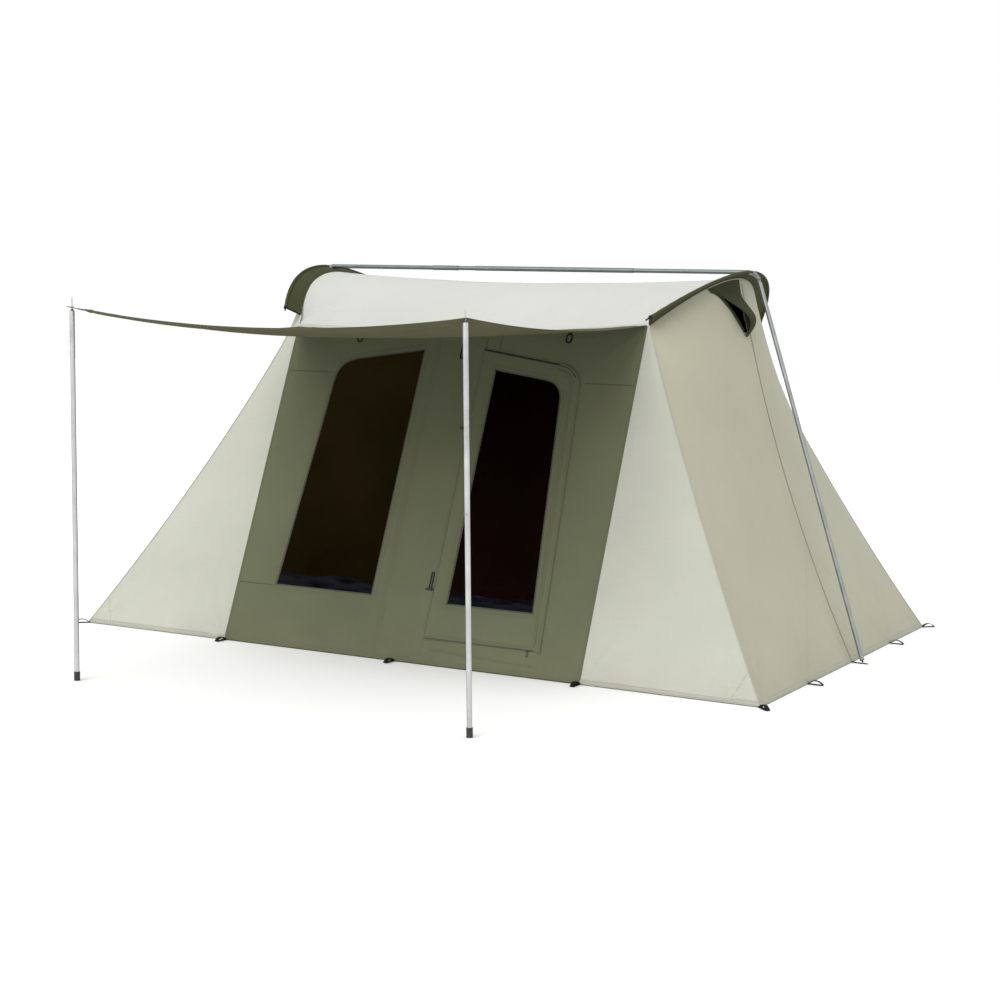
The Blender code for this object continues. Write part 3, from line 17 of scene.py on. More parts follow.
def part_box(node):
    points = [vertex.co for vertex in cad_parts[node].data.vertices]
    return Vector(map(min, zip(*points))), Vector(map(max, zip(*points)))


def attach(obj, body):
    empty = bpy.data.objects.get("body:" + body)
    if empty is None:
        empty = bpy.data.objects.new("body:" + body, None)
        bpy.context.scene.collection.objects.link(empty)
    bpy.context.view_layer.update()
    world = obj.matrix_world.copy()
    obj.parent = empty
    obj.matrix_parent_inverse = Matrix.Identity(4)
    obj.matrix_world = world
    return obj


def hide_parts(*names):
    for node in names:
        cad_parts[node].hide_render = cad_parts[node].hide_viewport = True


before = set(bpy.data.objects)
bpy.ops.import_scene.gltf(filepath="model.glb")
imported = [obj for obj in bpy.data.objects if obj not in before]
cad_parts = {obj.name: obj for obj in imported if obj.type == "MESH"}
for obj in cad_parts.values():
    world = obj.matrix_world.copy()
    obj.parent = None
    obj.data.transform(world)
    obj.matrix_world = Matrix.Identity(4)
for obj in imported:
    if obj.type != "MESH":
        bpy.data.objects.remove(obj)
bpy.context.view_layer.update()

LOG = logging.getLogger("tent")
# Thickness in metres of plain canvas, of heavier duck, and of mesh or cover cloth.
CLOTH, DUCK, THIN = 0.0011, 0.0012, 0.0006
# Scale of a wave texture whose waves are one metre long.
WAVE_SCALE = 0.314
Flat = tuple[float, float]
Spot = tuple[Vector, Vector]


class Trim(Enum):
    """Sewn strips, as width and height in metres."""

    FELLED = (0.014, 0.0007)
    HEM = (0.026, 0.0008)
    WIDE = (0.042, 0.0007)
    BINDING = (0.013, 0.0020)
    PIPING = (0.007, 0.0032)
    STITCH = (0.004, 0.0006)
    ZIP = (0.009, 0.0018)
    WEB = (0.008, 0.0020)
    TAPE = (0.024, 0.0016)


def smooth_step(low: float, high: float, value: float) -> float:
    """Smooth rise from 0 at low to 1 at high.

    Args:
        low: Value where the rise starts.
        high: Value where it ends.
        value: Value to place on the rise.

    Returns:
        Share from 0 to 1.
    """
    share = min(max((value - low) / (high - low), 0.0), 1.0)
    return share * share * (3 - 2 * share)


def even(count: int, low: float = 0.0, high: float = 1.0) -> list[float]:
    """Evenly spaced numbers, both ends included.

    Args:
        count: Number of steps.
        low: First number.
        high: Last number.

    Returns:
        The numbers, one more than the steps.
    """
    return [low + (high - low) * i / count for i in range(count + 1)]


def shoulder_outline(left: float, bottom: float, low: float, high: float, top: float, shoulder: float,
                     corner: float, points: int = 8) -> list[Flat]:
    """Outline of a door or window with an upright and a leaning side.

    Args:
        left: Upright side.
        bottom: Lower edge.
        low: Foot of the leaning side.
        high: Top of the leaning side.
        top: Height at the upright side.
        shoulder: Height at the leaning side.
        corner: Reach of the rounded corner.
        points: Steps round the corner.

    Returns:
        Points in the wall's plane, across and up the slope.
    """
    reach = (low - high) * corner / (shoulder - bottom)
    below = Vector((high + reach, shoulder - corner))
    peak = Vector((high, shoulder))
    beside = peak + (Vector((left, top)) - peak).normalized() * corner
    outline = [(left, bottom), (low, bottom)]
    for share in even(points):
        outline.append(tuple(below.lerp(peak, share).lerp(peak.lerp(beside, share), share)))
    return [*outline, (left, top)]


def loop_outline(x: float, top: float, half: float, drop: float, points: int) -> list[Flat]:
    """Outline of a loop that hangs down, round at both ends.

    Args:
        x: Its middle.
        top: Its highest point.
        half: Half of its width.
        drop: Its whole length.
        points: Steps round each end.

    Returns:
        Points in the wall's plane, across and up the slope.
    """
    path = []
    for end in (0, 1):
        centre = top - half - end * (drop - 2 * half)
        for share in even(points):
            angle = math.pi * (end + share)
            path.append((x + math.cos(angle) * half, centre + math.sin(angle) * half))
    return path


def grown(outline: Sequence[Flat], margin: float) -> list[Flat]:
    """Outline moved outwards.

    Args:
        outline: Closed outline.
        margin: How far it moves, inwards where negative.

    Returns:
        The moved outline.
    """
    points = [Vector(point) for point in outline]
    count = len(points)
    area = sum(points[i].x * points[(i + 1) % count].y - points[(i + 1) % count].x * points[i].y for i in range(count))
    turn = 1.0 if area > 0 else -1.0
    moved = []
    for i, point in enumerate(points):
        before = (point - points[i - 1]).normalized()
        after = (points[(i + 1) % count] - point).normalized()
        first = Vector((before.y, -before.x)) * turn
        second = Vector((after.y, -after.x)) * turn
        moved.append(tuple(point + (first + second) * (margin / (1 + first.dot(second)))))
    return moved


def stepped(path: Sequence[Flat], step: float, closed: bool = False) -> list[Flat]:
    """Path with points no further apart than a step.

    Args:
        path: Corners of the path.
        step: Longest distance between points.
        closed: Whether the last point joins the first.

    Returns:
        The finer path.
    """
    corners = [Vector(point) for point in path]
    if closed:
        corners.append(corners[0])
    made = []
    for start, end in zip(corners, corners[1:]):
        parts = max(1, math.ceil((end - start).length / step))
        made += [tuple(start.lerp(end, i / parts)) for i in range(parts)]
    return made if closed else [*made, tuple(corners[-1])]


def inside(points: np.ndarray, outline: Sequence[Flat]) -> np.ndarray:
    """Which points lie in an outline.

    Args:
        points: Points, one per row.
        outline: Closed outline.

    Returns:
        True for each point inside.
    """
    found = np.zeros(len(points), bool)
    corners = np.array(outline)
    for start, end in zip(corners, np.roll(corners, -1, axis=0)):
        crosses = (start[1] > points[:, 1]) != (end[1] > points[:, 1])
        if start[1] != end[1]:
            at = start[0] + (points[:, 1] - start[1]) * (end[0] - start[0]) / (end[1] - start[1])
            found ^= crosses & (points[:, 0] < at)
    return found


def finished(name: str, made: bmesh.types.BMesh) -> bpy.types.Object:
    """Turns worked faces into a piece of the scene.

    Args:
        name: Name of the piece.
        made: Its faces, which are freed.

    Returns:
        The new object, at the origin.
    """
    mesh = bpy.data.meshes.new(name)
    made.to_mesh(mesh)
    made.free()
    piece = bpy.data.objects.new(name, mesh)
    bpy.context.scene.collection.objects.link(piece)
    return piece


def mirrored(point: Vector, side: int, turn: int = 1) -> Vector:
    """Point of the front right, put on another side of the tent.

    Args:
        point: The point.
        side: 1 on the right and -1 on the left.
        turn: 1 in front and -1 in the rear.

    Returns:
        The mirrored point.
    """
    return Vector((point.x * side, point.y * turn, point.z))


def only(piece: bpy.types.Object) -> bpy.types.Object:
    """Selects one piece alone and makes it active.

    Args:
        piece: The piece.

    Returns:
        The same piece.
    """
    bpy.ops.object.select_all(action="DESELECT")
    piece.select_set(True)
    bpy.context.view_layer.objects.active = piece
    return piece


def thickened(piece: bpy.types.Object, thickness: float) -> bpy.types.Object:
    """Gives a single sheet its thickness, behind its face.

    Args:
        piece: The sheet.
        thickness: Thickness of the cloth.

    Returns:
        The same piece, closed.
    """
    wall = piece.modifiers.new("thickness", "SOLIDIFY")
    wall.thickness, wall.offset = thickness, -1.0
    only(piece)
    bpy.ops.object.modifier_apply(modifier=wall.name)
    piece.data.shade_smooth()
    piece.data.set_sharp_from_angle(angle=math.radians(40))
    return piece


@dataclass(frozen=True)
class Creases:
    """Soft folds of hanging canvas over flat coordinates in metres."""

    seed: float
    swell: float = 0.006
    ripple: float = 0.002
    anchors: tuple[Flat, ...] = ()
    pull: float = 0.004
    reach: float = 0.3
    rays: int = 9

    def depth(self, across: float, up: float, edge: float = 1.0) -> float:
        """Height of the folds at a point.

        Args:
            across: First flat coordinate.
            up: Second flat coordinate.
            edge: Distance from the sewn edge, where the folds die out.

        Returns:
            Height in metres, outwards.
        """
        value = self.swell * noise.noise(Vector((across * 1.4, up * 0.8, self.seed)))
        value += self.ripple * noise.noise(Vector((across * 4.6, up * 1.9, self.seed + 9)))
        value += self.ripple * 0.3 * noise.noise(Vector((across * 13.0, up * 8.0, self.seed + 5)))
        for order, (x, y) in enumerate(self.anchors):
            distance = math.hypot(across - x, up - y)
            if 0.01 < distance < self.reach * 4:
                angle = math.atan2(up - y, across - x)
                wander = noise.noise(Vector((distance * 2.0, angle * 2.0, self.seed + order)))
                wave = math.sin(angle * self.rays + self.seed * 3 + order * 1.7 + wander * 1.6)
                value += self.pull * math.exp(-distance / self.reach) * smooth_step(0.0, 0.1, distance) * wave
        return value * smooth_step(0.0, 0.06, edge)


@dataclass(frozen=True)
class Surface:
    """A sheet over two shares, with its folds."""

    base: Callable[[float, float], Vector]
    outward: Vector
    folds: Callable[[float, float], float]

    def normal(self, across: float, up: float) -> Vector:
        """Direction that the unfolded sheet faces at two shares."""
        step = 2e-3
        low, high = max(across - step, 0.0), min(across + step, 1.0)
        below, above = max(up - step, 0.0), min(up + step, 1.0)
        found = (self.base(high, up) - self.base(low, up)).cross(self.base(across, above) - self.base(across, below))
        if found.length < 1e-12:
            return self.outward.normalized()
        found.normalize()
        return found if found.dot(self.outward) > 0 else -found

    def at(self, across: float, up: float, proud: float = 0.0) -> Spot:
        """Point and normal on the folded sheet at two shares."""
        normal = self.normal(across, up)
        return self.base(across, up) + normal * (self.folds(across, up) + proud), normal

    def sheet(self, name: str, columns: int, rows: int, thickness: float = CLOTH) -> bpy.types.Object:
        """Builds the sheet as a closed thin piece.

        Args:
            name: Name of the piece.
            columns: Faces across.
            rows: Faces up.
            thickness: Thickness of the cloth.

        Returns:
            The piece, with its UV map in metres.
        """
        grid = [[self.at(i / columns, j / rows)[0] for i in range(columns + 1)] for j in range(rows + 1)]
        middle = self.at(0.5, 0.5)[1]
        facing = (grid[rows // 2][columns // 2 + 1] - grid[rows // 2][columns // 2]).cross(
            grid[rows // 2 + 1][columns // 2] - grid[rows // 2][columns // 2])
        piece = grid_piece(name, grid, facing.dot(middle) < 0)
        return thickened(piece, thickness)


def grid_piece(name: str, grid: Sequence[Sequence[Vector]], turned: bool = False, skipped: frozenset = frozenset(),
               ) -> bpy.types.Object:
    """Makes a sheet from a grid of points.

    Args:
        name: Name of the piece.
        grid: Rows of points.
        turned: Whether the faces are turned round.
        skipped: Faces left open, as row and column.

    Returns:
        The sheet, one layer thick, with its UV map in metres.
    """
    made = bmesh.new()
    layer = made.loops.layers.uv.new("UVMap")
    verts = [[made.verts.new(point) for point in row] for row in grid]
    middle = len(grid[0]) // 2
    ups = [0.0]
    for below, above in zip(grid, grid[1:]):
        ups.append(ups[-1] + (above[middle] - below[middle]).length)
    alongs = []
    for row in grid:
        lengths = [0.0]
        for start, end in zip(row, row[1:]):
            lengths.append(lengths[-1] + (end - start).length)
        alongs.append([length - lengths[middle] for length in lengths])
    for j in range(len(grid) - 1):
        for i in range(len(grid[0]) - 1):
            if (j, i) in skipped:
                continue
            corners = [(j, i), (j, i + 1), (j + 1, i + 1), (j + 1, i)]
            if turned:
                corners.reverse()
            face = made.faces.new([verts[row][column] for row, column in corners])
            for loop, (row, column) in zip(face.loops, corners):
                loop[layer].uv = (alongs[row][column], ups[row])
    loose = [vert for vert in made.verts if not vert.link_faces]
    bmesh.ops.delete(made, geom=loose, context="VERTS")
    return finished(name, made)


def cut_piece(name: str, place: Callable[[float, float], Vector], outline: Sequence[Flat],
              holes: Sequence[Sequence[Flat]], step: float, outward: Vector) -> bpy.types.Object:
    """Makes a sheet that is cut to an outline with holes.

    Args:
        name: Name of the piece.
        place: Maps flat coordinates into the tent.
        outline: Closed outline.
        holes: Closed outlines of the openings.
        step: Distance between the points of the sheet.
        outward: Direction that the sheet faces.

    Returns:
        The sheet, one layer thick, with its UV map in metres.
    """
    loops = [stepped(outline, step, True), *[stepped(hole, step, True) for hole in holes]]
    rims = [Vector(point) for loop in loops for point in loop]
    edges, start = [], 0
    for loop in loops:
        edges += [(start + i, start + (i + 1) % len(loop)) for i in range(len(loop))]
        start += len(loop)
    corners = np.array(outline)
    low, high = corners.min(0), corners.max(0)
    rows = np.arange(low[1] + step / 2, high[1], step * 0.87)
    columns = np.arange(low[0] + step / 3, high[0], step)
    spots = [(x + (j % 2) * step / 2, y) for j, y in enumerate(rows) for x in columns]
    points = np.array(spots)
    kept = inside(points, outline)
    for hole in holes:
        kept &= ~inside(points, hole)
    rim = np.array([tuple(point) for point in rims])
    points = points[kept]
    nearest = np.sqrt(((points[:, None, :] - rim[None, :, :]) ** 2).sum(2)).min(1)
    points = points[nearest > step * 0.55]
    found = delaunay_2d_cdt([*rims, *[Vector(point) for point in points]], edges, [], 0, 1e-6)
    flat = np.array([tuple(point) for point in found[0]])
    faces = [tuple(face) for face in found[2]]
    centres = np.array([flat[list(face)].mean(0) for face in faces])
    wanted = inside(centres, outline)
    for hole in holes:
        wanted &= ~inside(centres, hole)
    made = bmesh.new()
    layer = made.loops.layers.uv.new("UVMap")
    verts = [made.verts.new(place(float(x), float(y))) for x, y in flat]
    for face, use in zip(faces, wanted):
        if use:
            added = made.faces.new([verts[index] for index in face])
            for loop, index in zip(added.loops, face):
                loop[layer].uv = (flat[index][0], flat[index][1])
    bmesh.ops.delete(made, geom=[vert for vert in made.verts if not vert.link_faces], context="VERTS")
    made.normal_update()
    if sum(face.normal.dot(outward) * face.calc_area() for face in made.faces) < 0:
        bmesh.ops.reverse_faces(made, faces=made.faces)
    return finished(name, made)


def tangents(path: Sequence[Vector], closed: bool) -> list[Vector]:
    """Direction of a path at each of its points.

    Args:
        path: Points of the path.
        closed: Whether it closes on itself.

    Returns:
        The directions.
    """
    count = len(path)
    found = []
    for i, point in enumerate(path):
        before = path[i - 1] if i or closed else point
        after = path[(i + 1) % count] if i < count - 1 or closed else point
        found.append((after - before).normalized())
    return found


def swept(name: str, path: Sequence[Vector], rings: Sequence[Sequence[Vector]], shares: Sequence[float],
          closed: bool) -> bpy.types.Object:
    """Joins the sections along a path into a closed piece.

    Args:
        name: Name of the piece.
        path: Points of the path.
        rings: Points of the section at each point of the path.
        shares: UV place of each point of a section, and of its first point again.
        closed: Whether the path closes on itself.

    Returns:
        The piece, with its UV map along the path in metres.
    """
    made = bmesh.new()
    layer = made.loops.layers.uv.new("UVMap")
    verts = [[made.verts.new(point) for point in ring] for ring in rings]
    count, sides = len(rings), len(rings[0])
    lengths = [0.0]
    for i, point in enumerate(path):
        lengths.append(lengths[-1] + (path[(i + 1) % count] - point).length)
    for i in range(count if closed else count - 1):
        first, second = verts[i], verts[(i + 1) % count]
        for k in range(sides):
            after = (k + 1) % sides
            face = made.faces.new((first[k], second[k], second[after], first[after]))
            for loop, (along, across) in zip(face.loops, ((i, k), (i + 1, k), (i + 1, k + 1), (i, k + 1))):
                loop[layer].uv = (lengths[along], shares[across])
    if not closed:
        made.faces.new(verts[0])
        made.faces.new(verts[-1])
    bmesh.ops.recalc_face_normals(made, faces=made.faces)
    piece = finished(name, made)
    piece.data.shade_smooth()
    return piece


def ribbon(name: str, spots: Sequence[Spot], trim: Trim, closed: bool = False) -> bpy.types.Object:
    """Sews a strip along a path.

    Args:
        name: Name of the piece.
        spots: Points of the path, each with the normal of what it lies on.
        trim: Width and height of the strip.
        closed: Whether the path closes on itself.

    Returns:
        The closed strip. Its UV map runs along it in metres and across it from 0 to 1.
    """
    width, height = trim.value
    section = ((-0.5, -0.5), (-0.5, 0.5), (-0.32, 1.0), (0.32, 1.0), (0.5, 0.5), (0.5, -0.5))
    path = [point for point, _ in spots]
    rings = []
    for (point, normal), tangent in zip(spots, tangents(path, closed)):
        across = tangent.cross(normal).normalized()
        up = across.cross(tangent)
        rings.append([point + across * (width * a) + up * (height * h) for a, h in section])
    piece = swept(name, path, rings, [a + 0.5 for a, _ in (*section, section[0])], closed)
    piece.data.set_sharp_from_angle(angle=math.radians(50))
    return piece


def tube(name: str, path: Sequence[Vector], radius: float, closed: bool = False, sides: int = 10) -> bpy.types.Object:
    """Round cord along a path.

    Args:
        name: Name of the piece.
        path: Points of its middle.
        radius: Radius of the cord.
        closed: Whether it closes on itself.
        sides: Faces round it.

    Returns:
        The cord, with its UV map along it in metres.
    """
    rings = []
    side = Vector((0.31, 0.22, 0.93)).normalized()
    angles = [2 * math.pi * k / sides for k in range(sides)]
    for point, tangent in zip(path, tangents(path, closed)):
        side = (side - tangent * side.dot(tangent)).normalized()
        other = tangent.cross(side)
        rings.append([point + (side * math.cos(a) + other * math.sin(a)) * radius for a in angles])
    return swept(name, path, rings, even(sides), closed)


class Nodes:
    """Short ways to lay out the nodes of one material."""

    def __init__(self, name: str) -> None:
        """Starts a material with its Principled shader."""
        self.material = bpy.data.materials.new(name)
        self.material.use_nodes = True
        self.tree = self.material.node_tree
        self.shader = self.tree.nodes["Principled BSDF"]

    def add(self, kind: str, inputs: dict | None = None, **settings: object) -> bpy.types.Node:
        """Adds a node.

        Args:
            kind: Type of the node, without its common prefix.
            inputs: Values or sockets for its inputs, by name or number.
            **settings: Its other properties.

        Returns:
            The node.
        """
        node = self.tree.nodes.new("ShaderNode" + kind)
        for key, value in settings.items():
            setattr(node, key, value)
        for key, value in (inputs or {}).items():
            if isinstance(value, bpy.types.NodeSocket):
                self.tree.links.new(value, node.inputs[key])
            else:
                node.inputs[key].default_value = value
        return node

    def math(self, operation: str, first: object, second: object = 0.0) -> bpy.types.NodeSocket:
        """Adds a Math node and returns its output."""
        return self.add("Math", {0: first, 1: second}, operation=operation).outputs[0]

    def coordinates(self) -> tuple[bpy.types.NodeSocket, bpy.types.NodeSocket]:
        """Adds the coordinates and returns those of the UV map and of the object."""
        places = self.add("TexCoord")
        return places.outputs["UV"], places.outputs["Object"]

    def threads(self, uv: bpy.types.NodeSocket, pitch: float) -> list[bpy.types.NodeSocket]:
        """Adds the two crossing waves of a weave and returns them."""
        inputs = {"Vector": uv, "Scale": WAVE_SCALE / pitch}
        return [self.add("TexWave", inputs, bands_direction=way).outputs[1] for way in "XY"]

    def noise(self, place: bpy.types.NodeSocket, scale: float, detail: float = 3.0) -> bpy.types.NodeSocket:
        """Adds a Noise Texture and returns its value."""
        return self.add("TexNoise", {"Vector": place, "Scale": scale, "Detail": detail}).outputs[0]

    def spread(self, value: bpy.types.NodeSocket, low: float, high: float, least: float = 0.3,
               most: float = 0.7) -> bpy.types.NodeSocket:
        """Maps a value from least and most to low and high."""
        return self.add("MapRange", {0: value, 1: least, 2: most, 3: low, 4: high}).outputs[0]

    def mix(self, factor: object, first: object, second: object) -> bpy.types.NodeSocket:
        """Mixes two colours and returns the result."""
        node = self.add("Mix", data_type="RGBA")
        for key, value in ((0, factor), (6, first), (7, second)):
            if isinstance(value, bpy.types.NodeSocket):
                self.tree.links.new(value, node.inputs[key])
            else:
                node.inputs[key].default_value = value
        return node.outputs[2]

    def stretched(self, place: bpy.types.NodeSocket, scale: tuple[float, float, float],
                  turn: float = 0.0) -> bpy.types.NodeSocket:
        """Scales coordinates and returns them."""
        return self.add("Mapping", {"Vector": place, "Scale": scale, "Rotation": (0, 0, turn)}).outputs[0]

    def bump(self, height: object, strength: float, distance: float, under: object = None) -> bpy.types.NodeSocket:
        """Adds a Bump node over another normal and returns its normal."""
        inputs = {"Height": height, "Strength": strength, "Distance": distance}
        if under is not None:
            inputs["Normal"] = under
        return self.add("Bump", inputs).outputs[0]

    def join(self, **sockets: object) -> bpy.types.Material:
        """Sets the shader's sockets and returns the material."""
        for key, value in sockets.items():
            socket = self.shader.inputs[key.replace("_", " ")]
            if isinstance(value, bpy.types.NodeSocket):
                self.tree.links.new(value, socket)
            else:
                socket.default_value = value
        return self.material


def shade(colour: Sequence[float], share: float) -> tuple[float, float, float, float]:
    """Colour made lighter or darker by a share, with its alpha."""
    return (*[min(1.0, part * share) for part in colour], 1.0)


@dataclass(frozen=True)
class Canvas:
    """Woven cotton duck: tone patches, slubs, a plain weave and ground dust."""

    name: str
    colour: tuple[float, float, float]
    mottle: float = 0.05
    slubs: float = 0.07
    dust: float = 0.14
    pitch: float = 0.0011
    stitched: bool = False
    thread: tuple[float, float, float] = (0.30, 0.29, 0.22)
    sheen: float = 0.03
    gloss: float = 0.08

    def material(self) -> bpy.types.Material:
        """Builds the canvas material."""
        nodes = Nodes(self.name)
        uv, body = nodes.coordinates()
        patches = nodes.noise(body, 1.7, 4.0)
        colour = nodes.mix(nodes.spread(patches, 0.0, 1.0), shade(self.colour, 1 - self.mottle),
                           shade(self.colour, 1 + self.mottle))
        warp = nodes.noise(nodes.stretched(uv, (240.0, 7.0, 1.0)), 1.0, 2.0)
        weft = nodes.noise(nodes.stretched(uv, (7.0, 240.0, 1.0)), 1.0, 2.0)
        slubs = nodes.math("ADD", warp, weft)
        colour = nodes.mix(nodes.spread(slubs, 0.0, self.slubs * 2, 0.85, 1.25), colour, shade(self.colour, 0.72))
        height = nodes.add("SeparateXYZ", {0: body}).outputs[2]
        low = nodes.spread(height, self.dust, 0.0, 0.0, 0.22)
        grime = nodes.math("MULTIPLY", low, nodes.spread(nodes.noise(body, 7.0, 5.0), 0.2, 1.0, 0.35, 0.7))
        colour = nodes.mix(grime, colour, (0.20, 0.17, 0.12, 1.0))
        weave = nodes.math("ADD", *nodes.threads(uv, self.pitch))
        normal = nodes.bump(nodes.noise(body, 26.0, 4.0), 0.22, 0.004)
        normal = nodes.bump(slubs, 0.25, 0.0005, normal)
        normal = nodes.bump(weave, 0.35, 0.00035, normal)
        if self.stitched:
            colour, normal = self.stitches(nodes, uv, colour, normal)
        rough = nodes.spread(nodes.noise(uv, 40.0, 3.0), 0.84, 0.96)
        return nodes.join(Base_Color=colour, Roughness=rough, Normal=normal, Sheen_Weight=self.sheen,
                          Sheen_Roughness=0.5, Specular_IOR_Level=self.gloss)

    def stitches(self, nodes: Nodes, uv: bpy.types.NodeSocket, colour: bpy.types.NodeSocket,
                 normal: bpy.types.NodeSocket) -> tuple[bpy.types.NodeSocket, bpy.types.NodeSocket]:
        """Adds two rows of lock stitches along a strip.

        Args:
            nodes: The material's nodes.
            uv: The strip's UV map.
            colour: Colour of the cloth.
            normal: Normal of the cloth.

        Returns:
            The colour and the normal with the stitches on them.
        """
        parts = nodes.add("SeparateXYZ", {0: uv})
        along, across = parts.outputs[0], parts.outputs[1]
        off = nodes.math("ABSOLUTE", nodes.math("SUBTRACT", across, 0.5))
        near = nodes.math("LESS_THAN", nodes.math("ABSOLUTE", nodes.math("SUBTRACT", off, 0.3)), 0.035)
        dash = nodes.math("LESS_THAN", nodes.math("FRACT", nodes.math("MULTIPLY", along, 250.0)), 0.68)
        stitch = nodes.math("MULTIPLY", near, dash)
        beside = nodes.math("ABSOLUTE", nodes.math("SUBTRACT", off, 0.3))
        pucker = nodes.math("MULTIPLY", nodes.math("LESS_THAN", beside, 0.09), -1.0)
        normal = nodes.bump(nodes.math("ADD", nodes.math("MULTIPLY", stitch, 2.0), pucker), 0.6, 0.0005, normal)
        return nodes.mix(nodes.math("MULTIPLY", stitch, 0.75), colour, (*self.thread, 1.0)), normal


@dataclass(frozen=True)
class Webbing:
    """Narrow woven tape or bound edge, ribbed across."""

    name: str
    colour: tuple[float, float, float]
    ribs: float = 0.0022

    def material(self) -> bpy.types.Material:
        """Builds the webbing material."""
        nodes = Nodes(self.name)
        uv, body = nodes.coordinates()
        worn = nodes.noise(body, 18.0, 5.0)
        colour = nodes.mix(nodes.spread(worn, 0.0, 0.5, 0.45, 0.75), shade(self.colour, 1.0), shade(self.colour, 2.4))
        scale = WAVE_SCALE / self.ribs
        ribs = nodes.add("TexWave", {"Vector": uv, "Scale": scale, "Distortion": 0.6, "Detail Scale": 3.0},
                         bands_direction="DIAGONAL").outputs[1]
        fine = nodes.add("TexWave", {"Vector": uv, "Scale": scale * 3}, bands_direction="X").outputs[1]
        normal = nodes.bump(fine, 0.3, 0.0003, nodes.bump(ribs, 0.5, 0.0006))
        rough = nodes.spread(worn, 0.72, 0.9)
        return nodes.join(Base_Color=colour, Roughness=rough, Normal=normal, Specular_IOR_Level=0.25)


@dataclass(frozen=True)
class Screen:
    """Fine insect mesh that lets some light through; its colour also paints the light and shade of the interior seen
    through it.
    """

    name: str
    colour: tuple[float, float, float]
    low_interior_light_colour: tuple[float, float, float]
    fold: float
    foot: float = 0.322
    backing: tuple[float, float, float] = (0.0068, 0.0072, 0.0100)
    cover: float = 0.94
    pitch: float = 0.0016

    def material(self) -> bpy.types.Material:
        """Builds the mesh material."""
        nodes = Nodes(self.name)
        uv, body = nodes.coordinates()
        cloud = nodes.noise(body, 2.4, 3.0)
        rise = nodes.add("SeparateXYZ", {0: body}).outputs[2]
        # Painted interior light: the mesh's colour runs from its low tone to its high tone with height, standing in
        # for the lit interior seen through it.
        colour = nodes.mix(nodes.spread(rise, 0.0, 1.0, 0.5, 1.65), (*self.low_interior_light_colour, 1.0), (*self.colour, 1.0))
        colour = nodes.mix(nodes.spread(cloud, 0.35, 0.0), colour, (0.0, 0.0, 0.0, 1.0))
        height = nodes.math("SUBTRACT", rise, nodes.spread(nodes.noise(body, 5.0, 2.0), -0.016, 0.016))
        band = nodes.spread(height, 1.0, 0.0, self.foot + self.fold - 0.006, self.foot + self.fold)
        # Painted shade: dark and light copies of the rolled cover's colour, mixed by a stretched noise, stand in for
        # shade and light in its creases.
        crease_shade_mask = nodes.spread(nodes.noise(nodes.stretched(body, (7.0, 7.0, 50.0)), 1.0, 3.0), 0.0, 1.0, 0.35, 0.6)
        backing = nodes.mix(crease_shade_mask, shade(self.backing, 0.3), shade(self.backing, 1.5))
        colour = nodes.mix(band, colour, backing)
        holes = nodes.math("MULTIPLY", *nodes.threads(uv, self.pitch))
        colour = nodes.mix(nodes.math("MULTIPLY", holes, 0.35), colour, shade(self.colour, 0.3))
        normal = nodes.bump(holes, 0.4, 0.0004)
        rough = nodes.spread(cloud, 0.7, 0.85)
        return nodes.join(Base_Color=colour, Roughness=rough, Normal=normal, Alpha=self.cover,
                          Specular_IOR_Level=0.0)


@dataclass(frozen=True)
class Steel:
    """Zinc-coated tube: drawn streaks, dull patches and handling marks."""

    name: str
    colour: tuple[float, float, float]
    rough: float = 0.3
    streaks: tuple[float, float, float] = (160.0, 160.0, 2.2)

    def material(self) -> bpy.types.Material:
        """Builds the steel material."""
        nodes = Nodes(self.name)
        body = nodes.add("TexCoord").outputs["Object"]
        drawn = nodes.noise(nodes.stretched(body, self.streaks), 1.0, 3.0)
        dull = nodes.noise(body, 9.0, 6.0)
        marks = nodes.noise(body, 130.0, 2.0)
        colour = nodes.mix(nodes.spread(dull, 0.0, 1.0), shade(self.colour, 0.82), shade(self.colour, 1.08))
        colour = nodes.mix(nodes.spread(drawn, 0.0, 0.3, 0.4, 0.7), colour, shade(self.colour, 0.75))
        rough = nodes.math("ADD", nodes.spread(dull, self.rough - 0.07, self.rough + 0.1),
                           nodes.spread(marks, 0.0, 0.08, 0.55, 0.75))
        normal = nodes.bump(drawn, 0.12, 0.0003, nodes.bump(marks, 0.08, 0.0002))
        return nodes.join(Base_Color=colour, Metallic=1.0, Roughness=rough, Normal=normal,
                          Specular_Tint=(0.30, 0.31, 0.32, 1.0))


@dataclass(frozen=True)
class Moulded:
    """Moulded plastic or vinyl with a fine grain and scuffed patches."""

    name: str
    colour: tuple[float, float, float]
    rough: float = 0.45
    grain: float = 900.0

    def material(self) -> bpy.types.Material:
        """Builds the plastic material."""
        nodes = Nodes(self.name)
        body = nodes.add("TexCoord").outputs["Object"]
        scuffs = nodes.noise(body, 34.0, 6.0)
        colour = nodes.mix(nodes.spread(scuffs, 0.0, 0.5, 0.5, 0.75), shade(self.colour, 1.0), shade(self.colour, 2.2))
        normal = nodes.bump(nodes.noise(body, self.grain, 2.0), 0.2, 0.0002, nodes.bump(scuffs, 0.1, 0.001))
        rough = nodes.spread(scuffs, self.rough - 0.06, self.rough + 0.14)
        return nodes.join(Base_Color=colour, Roughness=rough, Normal=normal)


